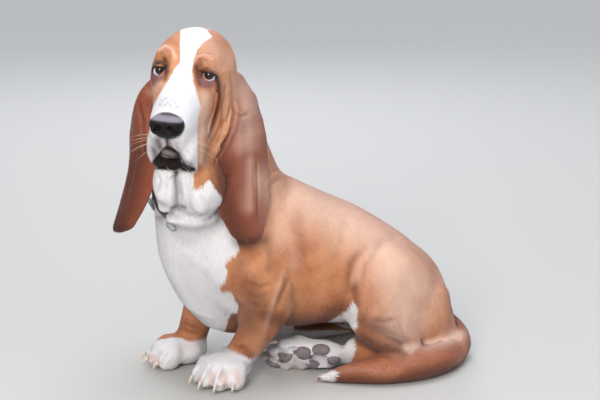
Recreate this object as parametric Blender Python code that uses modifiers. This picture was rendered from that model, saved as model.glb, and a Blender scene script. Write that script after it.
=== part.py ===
"""Basset hound sitting on its haunches with its head turned to its left: a still, life-size model.

Metres, +Z up. The dog faces -Y, its left side is +X, and the origin lies on the floor under its seat.
"""
import math

import bpy
import bmesh
import numpy as np
from mathutils import Euler, Matrix, Vector
from mathutils.bvhtree import BVHTree

# Driving dimensions
SEAM = 0.0003                 # gap between neighbouring parts
BODY_VOXEL = 0.0050           # grain of the fused trunk and legs
HEAD_VOXEL = 0.0032
PAW_VOXEL = 0.0030
TRUNK_FACES = 850             # triangles kept on trunk and neck together
LEG_FACES = 200               # on each foreleg without its paw
THIGH_FACES = 140
HEAD_FACES = 700
PAW_FACES = 180

HEAD_CENTRE = Vector((0.0240, -0.4120, 0.5380))    # midway between the eyes
HEAD_YAW = math.radians(52.0)                      # nose turned from -Y toward the dog's left
HEAD_PITCH = math.radians(13.0)                    # nose down
HEAD_ROLL = math.radians(3.6)                      # left cheek down
HEAD = (Matrix.Translation(HEAD_CENTRE) @ Matrix.Rotation(HEAD_YAW, 4, "Z")
        @ Matrix.Rotation(HEAD_PITCH, 4, "X") @ Matrix.Rotation(HEAD_ROLL, 4, "Y"))

EYE_SPREAD = 0.0395           # half the distance between the eyes
EYE_RADIUS = 0.0125
# Head and neck are modelled through each other and parted on two planes: from the occiput down to
# the throat, then forward under the chin. Corners as y, z of the head's own frame.
HEAD_ROOM = ((0.024, -0.126), (0.319, 0.239), (0.20, 0.40), (-0.40, 0.40), (-0.40, -0.190))
EAR_THICKNESS = 0.0070
COLLAR_WIDTH = 0.022
COLLAR_THICKNESS = 0.004

# Colours, linear RGB
TAN = (0.50, 0.21, 0.085)
RED_BROWN = (0.26, 0.085, 0.040)
WHITE = (0.86, 0.84, 0.82)
NOSE_BLACK = (0.030, 0.024, 0.028)
HORN = (0.55, 0.47, 0.38)
PAD_GREY = (0.19, 0.16, 0.15)
EYE_BROWN = (0.045, 0.022, 0.012)
LEATHER_BLACK = (0.020, 0.017, 0.016)
STEEL = (0.55, 0.55, 0.56)


def clear_scene():
    for obj in list(bpy.data.objects):
        bpy.data.objects.remove(obj)


def new_collection(name):
    collection = bpy.data.collections.new(name)
    bpy.context.scene.collection.children.link(collection)
    return collection


def finish(name, colour, roughness, metallic=0.0):
    material = bpy.data.materials.new(name)
    material.use_nodes = True
    shader = material.node_tree.nodes["Principled BSDF"]
    shader.inputs["Base Color"].default_value = (*colour, 1.0)
    shader.inputs["Roughness"].default_value = roughness
    shader.inputs["Metallic"].default_value = metallic
    return material


def mesh_object(name, verts, faces):
    mesh = bpy.data.meshes.new(name)
    mesh.from_pydata([tuple(v) for v in verts], [], faces)
    mesh.update()
    obj = bpy.data.objects.new(name, mesh)
    model.objects.link(obj)
    return obj


def smooth_rows(rows, per_span):
    """Catmull-Rom curve through rows of numbers, whatever their length."""
    rows = np.array(rows, float)
    padded = np.vstack([2 * rows[0] - rows[1], rows, 2 * rows[-1] - rows[-2]])
    out = []
    for i in range(len(rows) - 1):
        p0, p1, p2, p3 = padded[i:i + 4]
        for k in range(per_span):
            t = k / per_span
            out.append(0.5 * (2 * p1 + (p2 - p0) * t + (2 * p0 - 5 * p1 + 4 * p2 - p3) * t * t
                              + (3 * p1 - p0 - 3 * p2 + p3) * t ** 3))
    out.append(rows[-1])
    return np.array(out)


def tube(name, stations, across=(1, 0, 0), sides=28, per_span=5, power=2.0, place=None):
    """Closed loft along stations of x, y, z, half width (along across) and half depth."""
    rows = smooth_rows(stations, per_span)
    centres = rows[:, :3]
    tangents = np.gradient(centres, axis=0)
    tangents /= np.linalg.norm(tangents, axis=1)[:, None]
    wide = np.tile(np.array(across, float), (len(rows), 1))
    wide -= tangents * np.sum(wide * tangents, axis=1)[:, None]
    wide /= np.linalg.norm(wide, axis=1)[:, None]
    deep = np.cross(tangents, wide)
    angle = np.linspace(0, 2 * math.pi, sides, endpoint=False)
    ring = np.stack([np.cos(angle), np.sin(angle)], axis=1)
    ring = np.sign(ring) * np.abs(ring) ** (2.0 / power)
    verts = [c + w * r[0] * row[3] + d * r[1] * row[4]
             for c, w, d, row in zip(centres, wide, deep, rows) for r in ring]
    faces = []
    for i in range(len(rows) - 1):
        for j in range(sides):
            k = (j + 1) % sides
            faces.append((i * sides + j, i * sides + k, (i + 1) * sides + k, (i + 1) * sides + j))
    last = (len(rows) - 1) * sides
    verts.append(centres[0])
    verts.append(centres[-1])
    for j in range(sides):
        k = (j + 1) % sides
        faces.append((len(verts) - 2, k, j))
        faces.append((len(verts) - 1, last + j, last + k))
    obj = mesh_object(name, verts, faces)
    if place is not None:
        obj.data.transform(place)
    return obj


def ball(name, centre, radii, turn=(0, 0, 0), place=None, sides=24):
    """Ellipsoid with its own turn in degrees."""
    mesh = bpy.data.meshes.new(name)
    shape = bmesh.new()
    bmesh.ops.create_uvsphere(shape, u_segments=sides, v_segments=sides // 2, radius=1.0)
    shape.to_mesh(mesh)
    shape.free()
    spin = Euler([math.radians(a) for a in turn]).to_matrix().to_4x4()
    mesh.transform(Matrix.Translation(centre) @ spin @ Matrix.Diagonal((*radii, 1.0)))
    if place is not None:
        mesh.transform(place)
    obj = bpy.data.objects.new(name, mesh)
    model.objects.link(obj)
    return obj


def pair(name, centre, radii, turn=(0, 0, 0), place=None, sides=24):
    """The same ellipsoid on the left and, mirrored, on the right."""
    x, y, z = centre
    mirrored = (turn[0], -turn[1], -turn[2])
    return [ball(name + "_left", (x, y, z), radii, turn, place, sides),
            ball(name + "_right", (-x, y, z), radii, mirrored, place, sides)]


def settle(obj):
    """Replace the object's mesh with what its modifiers give."""
    bpy.context.view_layer.update()
    graph = bpy.context.evaluated_depsgraph_get()
    mesh = bpy.data.meshes.new_from_object(obj.evaluated_get(graph))
    obj.modifiers.clear()
    obj.data = mesh
    return obj


def triangulate(obj):
    shape = bmesh.new()
    shape.from_mesh(obj.data)
    bmesh.ops.triangulate(shape, faces=shape.faces)
    shape.to_mesh(obj.data)
    shape.free()


def join(name, pieces):
    shape = bmesh.new()
    for piece in pieces:
        copy = piece.data.copy()
        copy.transform(piece.matrix_world)
        shape.from_mesh(copy)
    mesh = bpy.data.meshes.new(name)
    shape.to_mesh(mesh)
    shape.free()
    obj = bpy.data.objects.new(name, mesh)
    model.objects.link(obj)
    return obj


def fuse(name, pieces, voxel, smoothing, faces, relax=0.5, trim=None):
    """One closed skin around overlapping pieces, smoothed and thinned to a number of triangles.

    trim is a cutting solid and what to do with it, before the thinning.
    """
    obj = join(name, pieces)
    discard(pieces)
    remesh = obj.modifiers.new("remesh", "REMESH")
    remesh.mode = "VOXEL"
    remesh.voxel_size = voxel
    remesh.adaptivity = 0.0
    soften = obj.modifiers.new("soften", "SMOOTH")
    soften.factor = relax
    soften.iterations = smoothing
    settle(obj)
    if trim is not None:
        subtract(obj, *trim)
    triangulate(obj)
    keep_largest(obj)
    thin = obj.modifiers.new("thin", "DECIMATE")
    thin.ratio = min(1.0, faces / len(obj.data.polygons))
    return settle(obj)


def discard(pieces):
    for piece in pieces:
        bpy.data.objects.remove(piece)


def keep_largest(obj):
    """Drop loose crumbs, keeping the island with the most faces."""
    shape = bmesh.new()
    shape.from_mesh(obj.data)
    islands = face_islands(shape)
    largest = max(islands, key=len)
    keep = set(largest)
    bmesh.ops.delete(shape, geom=[f for f in shape.faces if f not in keep], context="FACES")
    shape.to_mesh(obj.data)
    shape.free()
    return obj


def face_islands(shape):
    unseen = set(shape.faces)
    islands = []
    while unseen:
        stack = [unseen.pop()]
        island = list(stack)
        while stack:
            for edge in stack.pop().edges:
                for other in edge.link_faces:
                    if other in unseen:
                        unseen.remove(other)
                        stack.append(other)
                        island.append(other)
        islands.append(island)
    return islands


def cutter(obj):
    cutters.objects.link(obj)
    model.objects.unlink(obj)
    obj.display_type = "WIRE"
    obj.hide_render = True
    return obj


def subtract(obj, tool, operation="DIFFERENCE"):
    cut = obj.modifiers.new("cut", "BOOLEAN")
    cut.operation = operation
    cut.solver = "EXACT"
    cut.object = tool
    return settle(obj)


def grown(obj, distance):
    """A copy of a solid, larger all round by a distance."""
    copy = bpy.data.objects.new(obj.name + "_grown", obj.data.copy())
    model.objects.link(copy)
    swell = copy.modifiers.new("swell", "DISPLACE")
    swell.strength = distance
    swell.mid_level = 0.0
    settle(copy)
    return cutter(copy)


def carve(obj, *tools, gap=SEAM):
    """Take the neighbours' shapes, with the seam around them, out of a solid."""
    for tool in tools:
        subtract(obj, grown(tool, gap))
    return keep_largest(obj)


def box_cutter(name, centre, normal, half_width, half_height, thickness, up=(0, 0, 1)):
    """A thin slab across a limb: centre, the limb's direction, and half sizes across it."""
    n = Vector(normal).normalized()
    x = Vector(up).cross(n).normalized()
    y = n.cross(x)
    turn = Matrix((x, y, n)).transposed().to_4x4()
    shape = bmesh.new()
    size = Matrix.Diagonal((2 * half_width, 2 * half_height, thickness, 1.0))
    bmesh.ops.create_cube(shape, size=1.0, matrix=Matrix.Translation(centre) @ turn @ size)
    mesh = bpy.data.meshes.new(name)
    shape.to_mesh(mesh)
    shape.free()
    obj = bpy.data.objects.new(name, mesh)
    model.objects.link(obj)
    return cutter(obj)


def prism(name, outline, half_width, place):
    """A solid of constant section: y, z corners, drawn out to both sides along x."""
    verts = [(x, y, z) for x in (-half_width, half_width) for y, z in outline]
    count = len(outline)
    faces = [tuple(reversed(range(count))), tuple(range(count, 2 * count))]
    for i in range(count):
        k = (i + 1) % count
        faces.append((i, k, count + k, count + i))
    obj = mesh_object(name, verts, faces)
    obj.data.transform(place)
    return cutter(obj)


def seam(name, centre, normal, half_width, half_height, up=(0, 0, 1)):
    """The thin slab that parts two neighbours."""
    return box_cutter(name + "_seam", centre, normal, half_width, half_height, SEAM, up)


def flatten_on_floor(obj):
    """Give what dips under the floor a flat at its level."""
    if min(v.co.z for v in obj.data.vertices) < 0.0:
        subtract(obj, box_cutter("under_floor", (0, -0.2, -0.05), (0, 0, 1), 0.5, 0.5, 0.1, up=(0, 1, 0)))
        keep_largest(obj)
    return obj


def islands_to_parts(obj, seeds):
    """Split a solid into its loose parts, each named for the seed point closest to it."""
    shape = bmesh.new()
    shape.from_mesh(obj.data)
    islands = [island for island in face_islands(shape) if len(island) > 12]
    centres = []
    for island in islands:
        weights = [face.calc_area() for face in island]
        middle = sum((f.calc_center_median() * w for f, w in zip(island, weights)), Vector())
        centres.append(middle / sum(weights))
    parts = {}
    for name, seed in seeds.items():
        index = min(range(len(islands)), key=lambda i: (centres[i] - Vector(seed)).length)
        index_of = {}
        verts = []
        faces = []
        for face in islands[index]:
            for vert in face.verts:
                if vert.index not in index_of:
                    index_of[vert.index] = len(verts)
                    verts.append(vert.co.copy())
            faces.append([index_of[v.index] for v in face.verts])
        parts[name] = mesh_object(name, verts, faces)
        islands.pop(index)
        centres.pop(index)
    shape.free()
    if islands:
        raise ValueError("unnamed parts near " + str([tuple(round(c, 3) for c in m) for m in centres]))
    discard([obj])
    return parts


def wear(obj, material, smooth=True):
    obj.data.materials.clear()
    obj.data.materials.append(material)
    if smooth:
        obj.data.shade_smooth()
    return obj


BODY_YAW = math.radians(12.0)                       # the chest faces a little to the dog's left
ACROSS_CHEST = (math.cos(BODY_YAW), math.sin(BODY_YAW), 0.0)

# The collar lies in a plane that drops toward the throat
COLLAR_CENTRE = Vector((-0.020, -0.372, 0.359))
COLLAR_NORMAL = Vector((0.168, -0.478, 0.862)).normalized()


def trunk_pieces():
    """Barrel of the body from the base of the neck to the seat, with the breastbone under it."""
    barrel = tube("barrel", [
        (-0.042, -0.362, 0.372, 0.070, 0.090),       # base of the neck
        (-0.045, -0.342, 0.316, 0.090, 0.116),       # point of the shoulder
        (-0.045, -0.314, 0.256, 0.104, 0.128),       # forechest
        (-0.042, -0.266, 0.218, 0.109, 0.132),       # deepest ribs
        (-0.036, -0.205, 0.196, 0.109, 0.125),
        (-0.026, -0.135, 0.178, 0.106, 0.109),       # last ribs
        (-0.014, -0.072, 0.150, 0.102, 0.094),       # loin
        (-0.004, -0.022, 0.106, 0.096, 0.086),       # croup
        (0.000, 0.016, 0.056, 0.080, 0.068),         # seat
        (0.000, 0.040, 0.022, 0.050, 0.035),
    ], across=ACROSS_CHEST, power=2.15)
    keel = tube("keel", [
        (-0.030, -0.398, 0.290, 0.050, 0.060),
        (-0.038, -0.386, 0.222, 0.056, 0.060),
        (-0.048, -0.352, 0.158, 0.052, 0.060),
        (-0.054, -0.312, 0.118, 0.046, 0.054),
        (-0.050, -0.240, 0.106, 0.040, 0.040),
    ], across=ACROSS_CHEST)
    seat = [
        ball("seat_left", (0.044, 0.012, 0.060), (0.050, 0.058, 0.065)),
        ball("seat_right", (-0.043, 0.012, 0.060), (0.050, 0.058, 0.065)),
        ball("seat_middle", (0.002, 0.008, 0.030), (0.060, 0.058, 0.036)),
    ]
    return [barrel, keel] + seat


def neck_pieces():
    back_of_head = HEAD @ Vector((0, 0.060, -0.030))
    throat = tube("throat", [
        (*back_of_head, 0.056, 0.064),
        (-0.030, -0.368, 0.470, 0.062, 0.078),
        (-0.036, -0.355, 0.412, 0.072, 0.094),
        (-0.042, -0.345, 0.350, 0.086, 0.110),
        (-0.043, -0.335, 0.300, 0.092, 0.112),
    ], across=ACROSS_CHEST)
    under_jaw = HEAD @ Vector((0, -0.006, -0.078))
    gullet = tube("gullet", [
        (*under_jaw, 0.038, 0.040),
        (0.024, -0.410, 0.402, 0.050, 0.046),
        (0.014, -0.408, 0.350, 0.056, 0.050),
        (-0.008, -0.396, 0.300, 0.058, 0.055),
    ], across=(0.55, 0.83, 0.0))
    return [throat, gullet]


def dewlap_pieces():
    """Two lobes of loose skin that hang over the front of the collar."""
    return [
        ball("dewlap_right", (0.031, -0.445, 0.366), (0.036, 0.036, 0.047)),
        ball("dewlap_left", (0.056, -0.402, 0.362), (0.037, 0.037, 0.048)),
    ]


FORE_LEGS = {
    "left": [
        (0.016, -0.356, 0.262, 0.034, 0.042),
        (0.040, -0.326, 0.214, 0.042, 0.048),
        (0.053, -0.292, 0.170, 0.040, 0.046),
        (0.046, -0.290, 0.132, 0.035, 0.040),
        (0.026, -0.302, 0.094, 0.030, 0.033),
        (0.010, -0.312, 0.064, 0.029, 0.030),
        (0.003, -0.320, 0.044, 0.029, 0.029),
    ],
    "right": [
        (-0.106, -0.360, 0.256, 0.034, 0.042),
        (-0.130, -0.330, 0.206, 0.038, 0.044),
        (-0.138, -0.316, 0.162, 0.035, 0.039),
        (-0.128, -0.334, 0.120, 0.031, 0.035),
        (-0.116, -0.352, 0.084, 0.028, 0.031),
        (-0.114, -0.362, 0.058, 0.028, 0.029),
        (-0.116, -0.367, 0.042, 0.028, 0.028),
    ],
}
SHOULDERS = {
    "left": ((0.024, -0.335, 0.250), (0.048, 0.064, 0.085)),
    "right": ((-0.112, -0.320, 0.250), (0.046, 0.064, 0.085)),
}
ELBOWS = {"left": (0.051, -0.290, 0.150), "right": (-0.134, -0.325, 0.142)}


def fore_leg(side):
    centre, radii = SHOULDERS[side]
    pieces = [ball("shoulder", centre, radii, (-22, 0, 0)), tube("arm", FORE_LEGS[side])]
    leg = fuse("leg_fore_" + side, pieces, BODY_VOXEL, 5, LEG_FACES)
    subtract(leg, seam("elbow", ELBOWS[side], (0.18, 0, 0.98), 0.070, 0.070, up=(0, 1, 0)))
    x, y, z = ELBOWS[side]
    return islands_to_parts(leg, {"upper_arm_" + side: (x, y - 0.02, z + 0.09),
                                  "forearm_" + side: (x, y - 0.02, z - 0.06)})


HIND_LEGS = {
    "left": {
        "thigh": ((0.060, -0.066, 0.128), (0.054, 0.090, 0.104), (30, 0, 8)),
        "haunch": ((0.058, -0.006, 0.086), (0.048, 0.062, 0.078), (0, 0, 0)),
        "shank": [
            (0.088, -0.132, 0.122, 0.030, 0.038),
            (0.096, -0.104, 0.090, 0.030, 0.038),
            (0.098, -0.070, 0.062, 0.026, 0.032),
            (0.096, -0.040, 0.044, 0.024, 0.028),
        ],
        "metatarsus": [
            (0.094, -0.038, 0.040, 0.023, 0.026),
            (0.082, -0.072, 0.038, 0.023, 0.026),
            (0.062, -0.104, 0.034, 0.023, 0.028),
            (0.036, -0.136, 0.031, 0.023, 0.029),
        ],
    },
    "right": {
        "thigh": ((-0.078, -0.060, 0.112), (0.050, 0.088, 0.090), (28, 0, -6)),
        "haunch": ((-0.062, -0.002, 0.078), (0.050, 0.060, 0.070), (0, 0, 0)),
        "shank": [
            (-0.108, -0.136, 0.106, 0.028, 0.036),
            (-0.116, -0.108, 0.078, 0.028, 0.034),
            (-0.120, -0.070, 0.050, 0.024, 0.028),
            (-0.120, -0.040, 0.030, 0.022, 0.024),
        ],
        "metatarsus": [
            (-0.120, -0.036, 0.022, 0.020, 0.024),
            (-0.122, -0.085, 0.021, 0.020, 0.023),
            (-0.124, -0.140, 0.021, 0.022, 0.023),
            (-0.125, -0.168, 0.021, 0.024, 0.023),
        ],
    },
}


def hind_leg(side):
    leg = HIND_LEGS[side]
    thigh = fuse("thigh_" + side, [ball("thigh", *leg["thigh"]), ball("haunch", *leg["haunch"])],
                 BODY_VOXEL, 5, THIGH_FACES)
    shank = tube("shank_" + side, leg["shank"], sides=10, per_span=2)
    hock = tube("hock_" + side, leg["metatarsus"], sides=10, per_span=2)
    return thigh, carve(shank, thigh), hock


# Paws point to -Y in their own frame and stand on its floor, except the left hind one, which lies
# on its edge with the sole to the dog's left because the pelvis rolls onto the right hip
PAWS = {
    "fore_left": (Matrix.Translation((0.004, -0.352, 0.0)) @ Matrix.Rotation(math.radians(38), 4, "Z"),
                  0.112, 0.100, 0.060),
    "fore_right": (Matrix.Translation((-0.118, -0.394, 0.0)) @ Matrix.Rotation(math.radians(-12), 4, "Z"),
                   0.108, 0.094, 0.056),
    "hind_right": (Matrix.Translation((-0.126, -0.208, 0.0)) @ Matrix.Rotation(math.radians(-6), 4, "Z"),
                   0.096, 0.074, 0.045),
    "hind_left": (Matrix.Translation((0.006, -0.200, 0.030)) @ Matrix.Rotation(math.radians(-32.7), 4, "Z")
                  @ Matrix.Rotation(math.radians(-70), 4, "Y") @ Matrix.Translation((0, 0, -0.024)),
                  0.142, 0.068, 0.050),
}
TOE_SIDES = (-1.0, -0.36, 0.36, 1.0)


def paw_shapes(name, place, length, width, height):
    """Rounded back and instep, four knuckles and toes, and the claws beyond them."""
    half = width / 2
    pieces = [
        ball("back", (0, 0.16 * length, 0.46 * height), (0.80 * half, 0.36 * length, 0.50 * height)),
        ball("instep", (0, -0.05 * length, 0.50 * height), (0.84 * half, 0.34 * length, 0.44 * height)),
    ]
    claws = []
    for i, side in enumerate(TOE_SIDES):
        splay = side * 12
        x = side * 0.70 * half
        y = (-0.16 if abs(side) > 0.5 else -0.29) * length
        pieces.append(ball("knuckle", (x * 0.92, y + 0.10 * length, 0.50 * height),
                           (0.27 * half, 0.17 * length, 0.34 * height), (0, 0, splay)))
        pieces.append(ball("toe", (x, y, 0.30 * height),
                           (0.28 * half, 0.20 * length, 0.33 * height), (0, 0, splay)))
        forward = Matrix.Rotation(math.radians(splay), 3, "Z") @ Vector((0, -1, 0))
        root = Vector((x, y, 0.30 * height)) + forward * 0.13 * length
        bend = root + forward * 0.095 * length
        tip = root + forward * 0.150 * length - Vector((0, 0, 0.17 * height))
        claws.append(tube(f"claw_{name}_{i + 1}", [
            (*root, 0.0042, 0.0052), (*bend, 0.0034, 0.0044), (*tip, 0.0010, 0.0013),
        ], sides=5, per_span=1))
    for piece in pieces + claws:
        piece.data.transform(place)
    return pieces, claws


def head_pieces():
    """Skull and muzzle as one loft from the occiput to the nose, with brows, cheeks, jowls and flews."""
    skull = tube("skull", [
        (0, 0.110, 0.006, 0.022, 0.020),
        (0, 0.094, -0.002, 0.044, 0.048),
        (0, 0.066, -0.007, 0.060, 0.061),
        (0, 0.032, -0.009, 0.066, 0.064),
        (0, 0.004, -0.014, 0.064, 0.060),
        (0, -0.022, -0.023, 0.054, 0.054),
        (0, -0.048, -0.036, 0.043, 0.046),
        (0, -0.078, -0.044, 0.038, 0.042),
        (0, -0.104, -0.048, 0.034, 0.038),
        (0, -0.120, -0.050, 0.027, 0.032),
        (0, -0.127, -0.050, 0.016, 0.021),
    ], power=2.2, place=HEAD)
    masses = [skull]
    masses += pair("brow", (0.036, -0.004, 0.026), (0.018, 0.020, 0.014), (20, 0, 0), HEAD)
    masses += pair("cheek", (0.046, 0.030, -0.038), (0.021, 0.042, 0.052), place=HEAD)
    masses += pair("jowl", (0.042, 0.004, -0.080), (0.018, 0.042, 0.046), (12, 0, 0), HEAD)
    masses += pair("flew", (0.027, -0.072, -0.088), (0.018, 0.044, 0.044), (8, 0, 0), HEAD)
    masses.append(ball("lip_front", (0, -0.110, -0.072), (0.025, 0.018, 0.022), place=HEAD))
    return masses


def lower_jaw():
    return tube("jaw", [
        (0, 0.010, -0.094, 0.016, 0.012),
        (0, -0.030, -0.104, 0.020, 0.014),
        (0, -0.070, -0.112, 0.019, 0.014),
        (0, -0.098, -0.112, 0.015, 0.012),
        (0, -0.104, -0.111, 0.009, 0.007),
    ], sides=9, per_span=2, place=HEAD)


EAR_EDGES = {
    "left": ([(0.010, -0.345, 0.514), (0.028, -0.362, 0.494), (0.046, -0.378, 0.456),
              (0.062, -0.393, 0.397), (0.066, -0.389, 0.332), (0.071, -0.364, 0.276)],
             [(-0.036, -0.308, 0.518), (-0.022, -0.286, 0.486), (0.004, -0.276, 0.440),
              (0.025, -0.279, 0.376), (0.048, -0.288, 0.317), (0.062, -0.306, 0.272)]),
    "right": ([(-0.052, -0.440, 0.510), (-0.046, -0.450, 0.490), (-0.033, -0.458, 0.447),
               (-0.021, -0.460, 0.384), (-0.026, -0.467, 0.325), (-0.050, -0.486, 0.274)],
              [(-0.078, -0.410, 0.512), (-0.098, -0.446, 0.482), (-0.103, -0.466, 0.437),
               (-0.096, -0.474, 0.369), (-0.095, -0.492, 0.312), (-0.095, -0.509, 0.264)]),
}
EAR_ROWS = 12
EAR_COLUMNS = 6


def ear(name, front, back, swell, hem):
    """Hanging ear: a sheet between its front and back edges, swelling outward, with a rounded hem."""
    edges = np.array([smooth_rows(front, 8), smooth_rows(back, 8)])
    steps = np.linspace(0, edges.shape[1] - 1, EAR_ROWS)
    low = np.floor(steps).astype(int).clip(0, edges.shape[1] - 2)
    edges = edges[:, low] + (edges[:, low + 1] - edges[:, low]) * (steps - low)[None, :, None]
    verts = []
    for i in range(EAR_ROWS):
        u = i / (EAR_ROWS - 1)
        start, end = edges[:, i]
        down = edges[:, min(i + 1, EAR_ROWS - 1)].mean(axis=0) - edges[:, max(i - 1, 0)].mean(axis=0)
        outward = np.cross(down, end - start)
        outward *= swell / np.linalg.norm(outward)
        for k in range(EAR_COLUMNS):
            v = k / (EAR_COLUMNS - 1)
            bulge = math.sin(math.pi * v) ** 0.8 * (1.0 - 0.35 * u)
            curl = 0.30 * math.exp(-(v / 0.14) ** 2) * math.sin(math.pi * min(1, 1.6 * u))
            drop = hem * math.sin(math.pi * v) ** 0.7 * max(0.0, (u - 0.75) / 0.25) ** 2
            verts.append(start + (end - start) * v + outward * (bulge - curl) - np.array([0, 0, drop]))
    faces = []
    for i in range(EAR_ROWS - 1):
        for k in range(EAR_COLUMNS - 1):
            a = i * EAR_COLUMNS + k
            faces.append((a, a + EAR_COLUMNS, a + EAR_COLUMNS + 1, a + 1))
    obj = mesh_object(name, verts, faces)
    thicken = obj.modifiers.new("thicken", "SOLIDIFY")
    thicken.thickness = EAR_THICKNESS
    thicken.offset = 0.0
    settle(obj)
    triangulate(obj)
    return obj


def tail_shape():
    """The tail leaves the seat behind, swings round the left haunch and lies forward on the floor."""
    return tube("tail", [
        (-0.006, 0.034, 0.060, 0.026, 0.026),
        (0.004, 0.068, 0.045, 0.027, 0.027),
        (0.042, 0.074, 0.031, 0.028, 0.028),
        (0.086, 0.050, 0.0265, 0.028, 0.028),
        (0.117, 0.002, 0.0265, 0.028, 0.028),
        (0.126, -0.050, 0.0260, 0.028, 0.0275),
        (0.118, -0.105, 0.0235, 0.025, 0.0245),
        (0.094, -0.158, 0.0175, 0.019, 0.017),
        (0.078, -0.190, 0.0100, 0.011, 0.009),
        (0.072, -0.204, 0.0060, 0.005, 0.004),
    ], across=(0, 0, 1), sides=10, per_span=2)


def hind_pads(place, length, width, height):
    """The bare pads on the sole that shows: one behind, four under the toes."""
    half = width / 2
    pads = [ball("pad_hind_left_1", (0, 0.17 * length, 0.10 * height),
                 (0.50 * half, 0.130 * length, 0.20 * height), sides=10)]
    for i, side in enumerate(TOE_SIDES):
        y = (-0.13 if abs(side) > 0.5 else -0.28) * length
        pads.append(ball(f"pad_hind_left_{i + 2}", (side * 0.66 * half, y, 0.06 * height),
                         (0.21 * half, 0.085 * length, 0.15 * height), (0, 0, side * 12), sides=8))
    for pad in pads:
        pad.data.transform(place)
    return pads


def neck_outline(solid, count=26):
    """Where the collar's plane meets the neck, as smoothed distances from the collar's centre."""
    tree = BVHTree.FromPolygons([v.co for v in solid.data.vertices],
                                [p.vertices for p in solid.data.polygons])
    side = Vector((0, 0, 1)).cross(COLLAR_NORMAL).normalized()
    front = COLLAR_NORMAL.cross(side)
    angles = [2 * math.pi * k / count for k in range(count)]
    rays = [side * math.cos(a) + front * math.sin(a) for a in angles]
    reach = np.array([tree.ray_cast(COLLAR_CENTRE, ray)[3] for ray in rays])
    waves = np.fft.rfft(reach)
    waves[5:] = 0
    return rays, np.fft.irfft(waves, count)


def collar_strap(rays, reach):
    """A flat leather band on the neck's outline, sunk a little into the coat."""
    section = [(-0.0015, -0.5), (-0.0015, 0.5), (COLLAR_THICKNESS, 0.44), (COLLAR_THICKNESS, -0.44)]
    verts = []
    faces = []
    for k, (ray, distance) in enumerate(zip(rays, reach)):
        for out, rise in section:
            verts.append(COLLAR_CENTRE + ray * (distance + out) + COLLAR_NORMAL * rise * COLLAR_WIDTH)
        for m in range(4):
            a = k * 4 + m
            b = k * 4 + (m + 1) % 4
            c = ((k + 1) % len(rays)) * 4 + (m + 1) % 4
            d = ((k + 1) % len(rays)) * 4 + m
            faces.append((a, b, c, d))
    return mesh_object("collar_strap", verts, faces)


def wire_loop(name, centre, right, up, half_width, half_height, wire, power=4.0, count=12, sides=5):
    """A closed loop of round wire on a superellipse."""
    right = Vector(right).normalized()
    up = (Vector(up) - right * Vector(up).dot(right)).normalized()
    normal = right.cross(up)
    angles = [2 * math.pi * k / count for k in range(count)]
    bend = 2.0 / power
    path = []
    for a in angles:
        x = math.copysign(abs(math.cos(a)) ** bend, math.cos(a)) * half_width
        y = math.copysign(abs(math.sin(a)) ** bend, math.sin(a)) * half_height
        path.append(Vector(centre) + right * x + up * y)
    verts = []
    faces = []
    for k in range(count):
        along = (path[(k + 1) % count] - path[k - 1]).normalized()
        outward = along.cross(normal)
        for m in range(sides):
            t = 2 * math.pi * m / sides
            verts.append(path[k] + outward * math.cos(t) * wire + normal * math.sin(t) * wire)
            a = k * sides + m
            b = k * sides + (m + 1) % sides
            c = ((k + 1) % count) * sides + (m + 1) % sides
            d = ((k + 1) % count) * sides + m
            faces.append((a, d, c, b))
    return mesh_object(name, verts, faces)


clear_scene()
model = new_collection("basset_hound")
cutters = new_collection("cutters")

fur_tan = finish("fur_tan", TAN, 0.75)
fur_red = finish("fur_red", RED_BROWN, 0.75)
fur_white = finish("fur_white", WHITE, 0.75)
nose_leather = finish("nose_leather", NOSE_BLACK, 0.35)
claw_horn = finish("claw_horn", HORN, 0.45)
pad_skin = finish("pad_skin", PAD_GREY, 0.80)
eye_gloss = finish("eye_gloss", EYE_BROWN, 0.08)
collar_leather = finish("collar_leather", LEATHER_BLACK, 0.55)
buckle_steel = finish("buckle_steel", STEEL, 0.30, 1.0)

# Solids that overlap at first, then each gives way to its neighbour
head_room = prism("head_room", HEAD_ROOM, 0.30, HEAD)
trunk = fuse("trunk", trunk_pieces() + neck_pieces() + dewlap_pieces() + head_pieces(), BODY_VOXEL, 8,
             TRUNK_FACES, trim=(grown(head_room, SEAM), "DIFFERENCE"))
head = fuse("head", head_pieces() + neck_pieces() + dewlap_pieces(), HEAD_VOXEL, 5, HEAD_FACES,
            trim=(head_room, "INTERSECT"))
nose = ball("nose", (0, -0.121, -0.035), (0.0275, 0.017, 0.0195), (-12, 0, 0), HEAD, sides=12)
eyes = pair("eye", (EYE_SPREAD, -0.0215, 0.009), (EYE_RADIUS,) * 3, place=HEAD, sides=12)
jaw = lower_jaw()
ears = [ear("ear_left", *EAR_EDGES["left"], swell=0.016, hem=0.012),
        ear("ear_right", *EAR_EDGES["right"], swell=-0.014, hem=0.008)]
tail = tail_shape()

bare_neck = fuse("bare_neck", trunk_pieces() + neck_pieces(), 2 * BODY_VOXEL, 2, TRUNK_FACES)
collar_rays, collar_reach = neck_outline(bare_neck)
discard([bare_neck])
strap = collar_strap(collar_rays, collar_reach)
subtract(trunk, seam("neck", COLLAR_CENTRE, COLLAR_NORMAL, 0.16, 0.16))
subtract(trunk, seam("chest", (-0.033, -0.190, 0.215), (0.13, 0.98, -0.15), 0.16, 0.145))
subtract(trunk, seam("loin", (-0.014, -0.075, 0.160), (0.10, 0.86, -0.50), 0.16, 0.15))
trunk_parts = islands_to_parts(trunk, {
    "neck": (-0.020, -0.385, 0.430),
    "chest": (-0.040, -0.310, 0.230),
    "loin": (-0.025, -0.130, 0.180),
    "rump": (0.000, -0.010, 0.070),
})

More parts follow.
